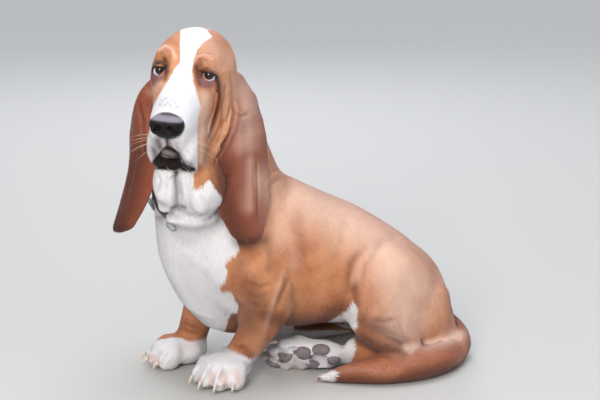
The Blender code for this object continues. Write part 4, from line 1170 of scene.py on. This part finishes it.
MARKS = ("white", "red", "deep", "cream", "stain", "grey", "shade", "mauve", "mouth", "dark", "chin")
COAT_PIECES = {
    "coat_head": ("head", "jaw"), "coat_ears": ("ear_",), "coat_neck": ("neck",), "coat_chest": ("chest",),
    "coat_back": ("loin", "rump"), "coat_thighs": ("thigh", "shank", "hock"),
    "coat_forelegs": ("upper_arm", "forearm"), "coat_paws": ("paw_",), "coat_tail": ("tail_",),
}


def unwrap_for_coat(skin):
    """A coarse copy of the skin, unwrapped, that tells each tuft its patch of the texture."""
    copy = skin.copy()
    copy.data = skin.data.copy()
    bpy.context.scene.collection.objects.link(copy)
    thin = copy.modifiers.new("thin", "DECIMATE")
    thin.ratio = 0.03
    apply_modifiers(copy)
    bpy.context.view_layer.objects.active = copy
    bpy.ops.object.select_all(action="DESELECT")
    copy.select_set(True)
    bpy.ops.object.mode_set(mode="EDIT")
    bpy.ops.mesh.select_all(action="SELECT")
    bpy.ops.uv.smart_project(angle_limit=math.radians(66), island_margin=0.004)
    bpy.ops.object.mode_set(mode="OBJECT")
    mesh = copy.data
    triangles = triangles_of(mesh)
    loops = np.empty(len(mesh.loop_triangles) * 3, np.int64)
    mesh.loop_triangles.foreach_get("loops", loops)
    uv = np.empty(len(mesh.loops) * 2)
    mesh.uv_layers.active.data.foreach_get("uv", uv)
    uv = uv.reshape(-1, 2)[loops].reshape(-1, 3, 2)
    corners = points_of(mesh)[triangles]
    tree = surface_tree(mesh)
    bpy.data.objects.remove(copy)
    return tree, corners, uv


def patch_places(roots, unwrap):
    """Where each root falls on the unwrap."""
    tree, corners, uv = unwrap
    found = [tree.find_nearest(p) for p in roots]
    index = np.array([f[2] for f in found])
    near = np.array([f[0] for f in found])
    a, b, c = (corners[index, k] for k in range(3))
    area = np.linalg.norm(np.cross(b - a, c - a), axis=1)
    wb = np.linalg.norm(np.cross(near - a, c - a), axis=1) / np.maximum(area, 1e-14)
    wc = np.linalg.norm(np.cross(b - a, near - a), axis=1) / np.maximum(area, 1e-14)
    return uv[index, 0] * (1 - wb - wc)[:, None] + uv[index, 1] * wb[:, None] + uv[index, 2] * wc[:, None]


def sow(points, triangles, wanted):
    """Roots spread over the skin so that each triangle gets its share: triangle numbers and weights."""
    a, b, c = (points[triangles[:, k]] for k in range(3))
    area = 0.5 * np.linalg.norm(np.cross(b - a, c - a), axis=1)
    share = np.cumsum(area * wanted)
    count = int(share[-1])
    index = np.searchsorted(share, (np.arange(count) + random.random(count)) * share[-1] / count)
    index = np.minimum(index, len(triangles) - 1)
    u = random.random((count, 2))
    flip = u.sum(axis=1) > 1
    u[flip] = 1 - u[flip]
    return index, np.column_stack([1 - u.sum(axis=1), u])


def tuft_mesh(name, bands, normals, tuft_uv, values):
    """Blades as one mesh: bands are rows of left and right points, then the tip; three triangles each."""
    count = len(normals)
    points = np.stack(bands, axis=1).reshape(-1, 3)
    first = np.arange(count)[:, None] * 5
    faces = (first[:, :, None] + np.array([[0, 3, 1], [0, 2, 3], [2, 4, 3]])[None]).reshape(-1)
    mesh = bpy.data.meshes.new(name)
    mesh.vertices.add(count * 5)
    mesh.vertices.foreach_set("co", points.ravel())
    mesh.loops.add(len(faces))
    mesh.loops.foreach_set("vertex_index", faces.astype(np.int32))
    mesh.polygons.add(count * 3)
    mesh.polygons.foreach_set("loop_start", np.arange(count * 3, dtype=np.int32) * 3)
    mesh.polygons.foreach_set("loop_total", np.full(count * 3, 3, np.int32))
    mesh.update(calc_edges=True)
    mesh.validate()
    layer = mesh.uv_layers.new(name="OFBake")
    corner = np.array([(-0.5, -0.5), (0.5, -0.5), (-0.4, 0.2), (0.4, 0.2), (0.0, 0.5)]) * UV_PATCH
    uv = (tuft_uv[:, None] + corner[None]).reshape(-1, 2)[faces]
    layer.data.foreach_set("uv", uv.astype(np.float32).ravel())
    for key, value in values.items():
        write_attribute(mesh, key, np.repeat(value, 5))
    mesh.polygons.foreach_set("use_smooth", np.ones(count * 3, bool))
    mesh.normals_split_custom_set_from_vertices(np.repeat(normals, 5, axis=0).tolist())
    return placed(name, mesh)


def bare_share(skin, marks):
    """1 where no hair grows: the lids' edges, dark lips, the painted shadow under the dewlap, the mouth's dark
    patch and the skin under the eyes.
    """
    bare = [step(0.5, 0.9, marks["dark"]),
            0.8 * step(0.3, 0.7, marks["mouth"]) * (1 - marks["chin"]),
            step(0.5, 0.9, marks["mauve"]),
            step(0.3, 0.7, read_attribute(skin.data, "lid"))]
    return np.clip(np.max(bare, axis=0), 0, 1)


def at_roots(values, corners, weights):
    """What is given at the skin's points, at each root."""
    shares = weights if values.ndim == 1 else weights[:, :, None]
    return np.sum(values[corners] * shares, axis=1)


def bent_blades(tree, root, up, way, long, wide, high):
    """Each tuft's rows of left and right points and its tip, bent along the skin, none under the floor."""
    count = len(root)
    swirl = random.normal(0, 0.14, count)
    across = unit(np.cross(up, way))
    way = unit(way + across * swirl[:, None])
    long = long * random.uniform(0.7, 1.25, count)
    across = unit(np.cross(up, way))
    reach = root + way * long[:, None]
    found = [tree.find_nearest(p) for p in reach]
    tip_base = np.array([f[0] for f in found])
    tip_up = np.array([f[1] for f in found])
    facing = np.sum(tip_up * up, axis=1) > 0.3
    tip_base = np.where(facing[:, None], tip_base, reach)
    tip_up = np.where(facing[:, None], tip_up, up)
    tip = tip_base + tip_up * (high * random.uniform(0.5, 1.3, count))[:, None]
    waist = 0.5 * (root + tip) + unit(up + tip_up) * (0.35 * high)[:, None]
    bow = np.linalg.norm(tip_base - reach, axis=1)
    waist = waist + unit(up + tip_up) * (0.25 * bow)[:, None]
    base = root - up * 0.4 * MM
    half = across * (0.5 * wide)[:, None]
    bands = [base - half, base + half, waist - 0.8 * half, waist + 0.8 * half, tip]
    for band in bands:
        band[:, 2] = np.maximum(band[:, 2], FLOOR_GAP)
    return bands


def grow_coat(skin, thinning):
    """Tufts over the whole skin, in pieces that stay under the limit of triangles."""
    triangles = triangles_of(skin.data)
    part = parts_of(skin.data)
    settings = np.zeros((len(part), 4))
    for stem, numbers in COAT.items():
        settings[belongs(part, stem)] = numbers
    length, width, lift, density = relax(settings, edges_of(skin.data), 10).T
    marks = {key: read_attribute(skin.data, key) for key in MARKS}
    density = density * (1 - bare_share(skin, marks)) * PER_SQUARE_CM * thinning
    unwrap = unwrap_for_coat(skin)
    index, weights = sow(points_of(skin.data), triangles, density[triangles].mean(axis=1))
    corners = triangles[index]
    root, normal, way, long, wide, high = (
        at_roots(values, corners, weights)
        for values in (points_of(skin.data), normals_of(skin.data), read_vectors(skin.data, "lie"),
                       length, width, lift))
    up = unit(normal)
    bands = bent_blades(surface_tree(skin.data), root, up, way, long * MM, wide * MM, high * MM)
    uv = patch_places(root, unwrap)
    values = {key: at_roots(mark, corners, weights) for key, mark in marks.items()}
    owner = part[corners[:, 0]]
    uneven = TONE_SPREAD + 0.075 * belongs(owner, "tail_") + 0.025 * belongs(owner, "ear_")
    values["tone"] = np.clip(1.0 + uneven * random.normal(0, 1, len(root)), 0.7, 1.3)
    shading = unit(up + random.normal(0, 0.09, (len(root), 3)))
    pieces = []
    for name, stems in COAT_PIECES.items():
        chosen = np.where(belongs(owner, *stems))[0]
        lots = max(1, math.ceil(len(chosen) * 3 / COAT_PIECE_LIMIT))
        for lot in range(lots):
            some = chosen[lot::lots]
            label = name if lots == 1 else f"{name}_{lot + 1}"
            pieces.append(tuft_mesh(label, [band[some] for band in bands], shading[some], uv[some],
                                    {key: value[some] for key, value in values.items()}))
    print("coat", len(root), "tufts in", len(pieces), "pieces")
    return pieces


def finish_piece(piece, material, nodes=()):
    """Shade smooth, give the material, and tell the frame what the piece stands for."""
    piece.data.polygons.foreach_set("use_smooth", np.ones(len(piece.data.polygons), bool))
    piece.data.materials.append(material)
    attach(piece, "root")
    if nodes:
        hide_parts(*nodes)


def rings(count, around, closed=False):
    """Faces between rings of points, a ring being `around` points."""
    faces = []
    for i in range(count if closed else count - 1):
        for j in range(around):
            k = (j + 1) % around
            n = (i + 1) % count
            faces.append((i * around + j, i * around + k, n * around + k, n * around + j))
    return faces


def tube(path, radii, around, closed=False):
    """Points and faces of a round tube along a path of world points."""
    path = np.array(path)
    if closed:
        run = np.roll(path, -1, axis=0) - np.roll(path, 1, axis=0)
    else:
        run = np.gradient(path, axis=0)
    run = unit(run)
    side = unit(np.cross(run, HEAD_TURN[:, 1] + 0.1))
    third = np.cross(run, side)
    points = []
    for centre, a, b, radius in zip(path, side, third, np.broadcast_to(radii, len(path))):
        for j in range(around):
            turn = 2 * math.pi * j / around
            points.append(centre + radius * (a * math.cos(turn) + b * math.sin(turn)))
    return points, rings(len(path), around, closed)


def from_head(local):
    """Millimetres in the head's own frame as world points."""
    return np.asarray(local) * MM @ HEAD_TURN.T + np.array(HEAD_CENTRE)


# Eyes

IRIS_EDGE = 0.68              # off the gaze, in radians
CORNEA_RISE = 0.9             # mm
RIM_SHARE = 1.05              # the lid's edge stands just outside the opening
GAZE_SHIFT = (-0.10, 0.0, 0.12)   # the dog looks a little above and beside the camera


def on_eye(side, a, b, radius):
    """A place on the eye, from its angles off the eye's axis, in the head's millimetres."""
    middle, sideways, up, out = eye_frame(side)
    off_axis = max(math.hypot(a, b), 1e-6)
    return middle + radius * (out * math.cos(off_axis)
                              + (sideways * a + up * b) / off_axis * math.sin(off_axis))


def eyeball(side):
    """A ball with a raised cornea, its points marked with how far they lie off the gaze."""
    middle = np.array(EYES[side])
    gaze = unit(on_head(np.array([CAMERA_PLACE]))[0] - middle)
    gaze = unit(gaze + np.array(GAZE_SHIFT))
    across = unit(np.cross(gaze, (0.0, 0.0, 1.0)))
    upright = np.cross(across, gaze)
    around = 48
    bands = np.concatenate([np.linspace(0.01, 0.8, 22), np.linspace(0.88, math.pi - 0.02, 20)])
    points, off_gaze, streak = [], [], []
    for band in bands:
        radius = EYE_RADIUS - 0.2 + CORNEA_RISE * max(0.0, 1 - (band / IRIS_EDGE) ** 2)
        for j in range(around):
            turn = 2 * math.pi * j / around
            flat = across * math.cos(turn) + upright * math.sin(turn)
            points.append(middle + radius * (gaze * math.cos(band) + flat * math.sin(band)))
            off_gaze.append(band)
            streak.append((math.cos(turn), math.sin(turn), 0.4 * band))
    faces = rings(len(bands), around)
    faces.append(tuple(range(around))[::-1])
    faces.append(tuple(range((len(bands) - 1) * around, len(bands) * around)))
    eye = new_object(f"eyeball_{side}", from_head(points), faces)
    write_attribute(eye.data, "off_gaze", np.array(off_gaze))
    write_attribute(eye.data, "streak", np.array(streak))
    return eye


def lid_rim(side):
    """The wet dark edge of the lids."""
    path, thickness, around = [], [], 72
    for j in range(around):
        turn = 2 * math.pi * j / around
        c, v = math.cos(turn), math.sin(turn)
        a = EYE_HALF_WIDTH * RIM_SHARE * math.copysign(abs(c) ** (2 / LID_ROUNDNESS), c)
        edge = EYE_UPPER if v > 0 else EYE_LOWER
        b = edge * RIM_SHARE * math.copysign(abs(v) ** (2 / LID_ROUNDNESS), v)
        path.append(on_eye(side, a, b, EYE_RADIUS + 1.2))
        thickness.append(0.46 + 0.14 * v)
    points, faces = tube(from_head(path), np.array(thickness) * MM, 8, closed=True)
    return new_object(f"lid_rim_{side}", points, faces)


def haw(side):
    """The slack inner lining that shows over the lower lid."""
    points, rows, columns = [], 6, 28
    for i in range(rows):
        for j in range(columns):
            share = -0.97 + 1.94 * j / (columns - 1)
            arch = (1 - abs(share) ** LID_ROUNDNESS) ** (1 / LID_ROUNDNESS)
            depth = EYE_LOWER * arch * (1.08 - 0.38 * i / (rows - 1))
            height = EYE_RADIUS + 1.2 - 1.15 * (i / (rows - 1)) ** 1.5
            points.append(on_eye(side, EYE_HALF_WIDTH * share, -depth, height))
    faces = [(i * columns + j, i * columns + j + 1, (i + 1) * columns + j + 1, (i + 1) * columns + j)
             for i in range(rows - 1) for j in range(columns - 1)]
    return new_object(f"haw_{side}", from_head(points), faces)


# Nose

NOSE_CENTRE = np.array((0.0, -121.0, -35.0))
NOSE_RADII = np.array((27.0, 17.5, 19.0))
NOSE_TILT = math.radians(-12)
NOSE_CREASES = [              # in the nose's own millimetres, on the dog's left and mirrored
    ("nostril slit", [(11, -16, -2), (16, -14, -6), (21, -10, -6), (24, -5, -3)], 3.8, 1.8),
    ("wing of the nostril", [(8, -17, 4), (14, -15, 4.5), (20, -11, 2), (24, -6, 2)], -1.6, 2.8),
    ("under the nostril", [(5, -16, -8), (12, -14, -11), (19, -9, -11)], -0.9, 2.6),
]


def sculpted_nose():
    """A broad leather nose: flat on top, nostrils like commas and a groove down the middle, its top painted
    lilac-grey as a painted sky reflection.
    """
    around, bands = 96, 64
    points = []
    for i in range(bands):
        polar = math.pi * (i + 0.5) / bands
        for j in range(around):
            turn = 2 * math.pi * j / around
            way = (math.sin(polar) * math.cos(turn), math.sin(polar) * math.sin(turn), math.cos(polar))
            points.append([radius * math.copysign(abs(w) ** 0.86, w) for radius, w in zip(NOSE_RADII, way)])
    faces = rings(bands, around)
    faces.append(tuple(range(around)))
    faces.append(tuple(range((bands - 1) * around, bands * around))[::-1])
    nose = new_object("nose_leather", points, [face[::-1] for face in faces])
    own = points_of(nose.data)
    own[:, 2] = np.where(own[:, 2] > 9, 9 + 0.62 * (own[:, 2] - 9), own[:, 2])
    own[:, 0] *= 1 - 0.14 * step(2, -18, own[:, 2])
    set_points(nose.data, own)
    normals = normals_of(nose.data)
    if np.sum(normals * own) < 0:
        normals = -normals
    moved = pressed(own, normals, [(0, -17, 11), (0, -18, 0), (0, -16, -16)], 1.8, 1.3)
    for _, path, depth, width in NOSE_CREASES:
        for side in (1, -1):
            moved += pressed(own, normals, [(side * x, y, z) for x, y, z in path], depth, width)
    for side in (1, -1):
        moved += swollen(own, normals, (side * 9.5, -16.5, -1.5), 3.9, -7.0)
    own = own + moved
    c, v = math.cos(NOSE_TILT), math.sin(NOSE_TILT)
    turned = np.column_stack([own[:, 0], own[:, 1] * c - own[:, 2] * v, own[:, 1] * v + own[:, 2] * c])
    set_points(nose.data, from_head(turned + NOSE_CENTRE))
    # Painted sky reflection: lilac-grey on the top, where it faces up
    top = step(-3.0, 9.0, turned[:, 2]) * step(0.2, 0.9, normals[:, 2])
    write_attribute(nose.data, "sky", 0.75 * top)
    return nose


def whiskers():
    """Stiff pale hairs on the flews, thin tubes that taper to a point."""
    starts = [((34, -104, -62), (0.85, -0.35, 0.1)), ((35, -98, -70), (0.9, -0.2, 0.0)),
              ((32, -108, -74), (0.7, -0.6, -0.1)), ((35, -96, -80), (0.9, -0.25, -0.2)),
              ((30, -112, -66), (0.7, -0.65, 0.1)), ((34, -100, -90), (0.8, -0.4, -0.4))]
    hairs = []
    for (x, y, z), way in starts:
        for side in (1, -1):
            length = random.uniform(26, 40)
            way_here = unit(np.array((side * way[0], way[1], way[2])) + random.normal(0, 0.08, 3))
            along = np.linspace(0, 1, 7)[:, None]
            path = np.array((side * x, y, z)) + length * along * way_here - (0, 0, 8) * along ** 2
            hairs.append(tube(from_head(path), np.linspace(0.26, 0.06, 7) * MM, 4))
    return new_object("whiskers", *gathered(hairs))


# What the solids already give, made smooth: claws and collar; and new pads on the sole in the place of the
# solids' pads

def smooth_piece(name, nodes, levels):
    """The nodes' own shapes as one mesh, rounded by subdividing."""
    piece = new_object(name, *gathered([welded(node_name, 0.0) for node_name in nodes]))
    rounding = piece.modifiers.new("round", "SUBSURF")
    rounding.levels = levels
    rounding.render_levels = levels
    apply_modifiers(piece)
    return piece


# The pads as the photo shows them: middle, half width and half height in pixels, and height in millimetres
SOLE = [
    ("inner toe's pad", (272, 363.5), 10.0, 6.6, 7.0),
    ("second toe's pad", (284.5, 355.5), 8.6, 7.6, 7.6),
    ("third toe's pad", (303, 353), 9.0, 8.4, 7.2),
    ("outer toe's pad", (321, 349.5), 10.0, 7.6, 6.8),
    ("main pad, front", (313, 364), 9.6, 5.6, 5.4),
    ("main pad, back", (333, 361), 9.4, 5.8, 5.4),
]
PIXEL = 1.72 * MM             # on the dog, about


def sole_pads(skin):
    """Domes of bare skin on the sole that the hind foot shows, lying on the skin."""
    tree = surface_tree(skin.data)
    across = np.array(CAMERA_TURN.to_matrix())[:, 0]
    shares, around = np.linspace(0.02, 1.0, 12), 40
    domes = []
    for _, middle, half_width, half_height, rise in SOLE:
        place = Vector(seen_at(tree, [middle])[0])
        normal = np.array(tree.find_nearest(place)[1])
        side = unit(across - normal * (across @ normal))
        up = np.cross(normal, side)
        points = []
        for share in shares:
            for j in range(around):
                turn = 2 * math.pi * j / around
                way = side * half_width * math.cos(turn) + up * half_height * math.sin(turn)
                near, near_normal = tree.find_nearest(Vector(np.array(place) + way * PIXEL * share))[:2]
                height = (rise * (1 - share ** 2.8) - 1.2) * MM
                points.append(np.array(near) + np.array(near_normal) * height)
        domes.append((points, rings(len(shares), around) + [tuple(range(around))[::-1]]))
    return new_object("pads", *gathered(domes))


CLAWS = [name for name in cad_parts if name.startswith("claw_")]
PADS = [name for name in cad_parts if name.startswith("pad_")]

skin = cast_skin()
even_out(skin)
refine_face(skin)
sculpt(skin)
open_eyes(skin)
refine_lids(skin)
mark_skin(skin)
print("skin", len(skin.data.vertices), "points")
finish_piece(skin, skin_material(), FLESH)
hair = hair_material()
for coat in grow_coat(skin, 1.0):
    coat.data.materials.append(hair)
    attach(coat, "root")
wet_eye = eyeball_material()
# Lid edge: bare wet skin, nearly black, shining
wet_rim = speckled_material("wet lid edge", "#21161a", "#0f090a", grain=3.33, height=0.2,
                            roughness=0.42, coat_weight=0.15)
# Lining of the lower lid: mauve pink mucous skin, wet
wet_haw = speckled_material("wet lining of the lid", "#9a818c", "#573c46", grain=1.43, height=0.25,
                            roughness=0.38, coat_weight=0.3)
for side in SIDES:
    finish_piece(eyeball(side), wet_eye, [f"eye_{side}"])
    finish_piece(lid_rim(side), wet_rim)
    finish_piece(haw(side), wet_haw)
# Nose: hairless skin in fine pebbles, nearly black, with a moist sheen and a painted sky reflection on top
leather_of_nose = pebbled_material("nose leather", "#1b1315", "#090606", pebble=1.1, height=0.18,
                                   roughness=0.42)
finish_piece(sculpted_nose(), leather_of_nose, ["nose"])
# Whiskers: clear stiff hair, pale straw
straw = speckled_material("whisker hair", "#f2e4c8", "#d6bf98", grain=12.5, height=0.02, roughness=0.4)
finish_piece(whiskers(), straw)
# Claws: horn, pinkish cream with darker growth rings, a dull polish
horn = speckled_material("claw horn", "#ece0d4", "#c2aa9b", grain=3.85, height=0.15, roughness=0.38)
finish_piece(smooth_piece("claws", CLAWS, 2), horn, CLAWS)
# Pads: thick dry skin in coarse pebbles, dusty grey and matt
dry_skin = pebbled_material("paw pad skin", "#a2979a", "#776c70", pebble=1.1, height=0.35, roughness=0.8)
finish_piece(sole_pads(skin), dry_skin, PADS)
# Collar strap: dark oiled leather with a fine grain
leather = speckled_material("collar leather", "#3a332f", "#181412", grain=2.38, height=0.25,
                            roughness=0.5)
finish_piece(smooth_piece("strap", ["collar_strap"], 1), leather, ["collar_strap"])
# Buckle and ring: brushed steel, slightly tarnished
steel = speckled_material("collar steel", "#b8bcc0", "#7e8286", grain=1.43, height=0.05,
                          roughness=0.3, metallic=1.0)
finish_piece(smooth_piece("buckle_and_ring", ["collar_buckle", "collar_ring"], 2), steel,
             ["collar_buckle", "collar_ring"])


# Stage

def floor_piece():
    mesh = bpy.data.meshes.new("floor")
    shape = bmesh.new()
    bmesh.ops.create_grid(shape, size=20.0)
    shape.to_mesh(mesh)
    shape.free()
    material, tree = new_material("pale matt floor")
    shader = node(tree, "BsdfPrincipled", {"Base Color": linear("#b9b7b2"), "Roughness": 0.8})
    finish_surface(tree, shader)
    mesh.materials.append(material)
    placed("floor", mesh)


LIT_MIDDLE = Vector((0.0, -0.2, 0.3))


def softbox(name, place, size, power, colour):
    """A round soft lamp that shines on the dog's middle."""
    lamp = bpy.data.lights.new(name, "AREA")
    lamp.shape = "DISK"
    lamp.size = size
    lamp.energy = power
    lamp.color = linear(colour)[:3]
    holder = placed(name, lamp)
    holder.location = place
    holder.rotation_euler = (LIT_MIDDLE - Vector(place)).to_track_quat("-Z", "Y").to_euler()


def overcast_sky():
    """Broad light from above, even over the whole floor."""
    lamp = bpy.data.lights.new("sky", "SUN")
    lamp.energy = 2.05
    lamp.angle = math.radians(46)
    lamp.color = linear("#eef3ff")[:3]
    placed("sky", lamp).rotation_euler = (math.radians(-9), 0, 0)


def pale_room():
    """Even light from all round."""
    world = bpy.data.worlds.new("pale room")
    world.use_nodes = True
    background = world.node_tree.nodes["Background"]
    background.inputs["Color"].default_value = linear("#e6ecf4")
    background.inputs["Strength"].default_value = 0.52
    bpy.context.scene.world = world


def photo_camera():
    """A camera that stands and looks as the photo's did."""
    camera = placed("camera", bpy.data.cameras.new("camera"))
    camera.data.lens = LENS
    camera.data.sensor_width = SENSOR
    camera.location = CAMERA_PLACE
    camera.rotation_euler = CAMERA_TURN
    return camera


floor_piece()
overcast_sky()
softbox("key", (2.0, -2.0, 1.7), 1.3, 64, "#fffaf4")
softbox("fill", (2.0, 1.3, 1.5), 2.0, 13, "#f4f7ff")
softbox("rim", (-2.4, 0.6, 1.9), 1.4, 26, "#f4f7ff")
pale_room()
bpy.context.scene.camera = photo_camera()
bpy.context.scene.view_settings.view_transform = "Standard"
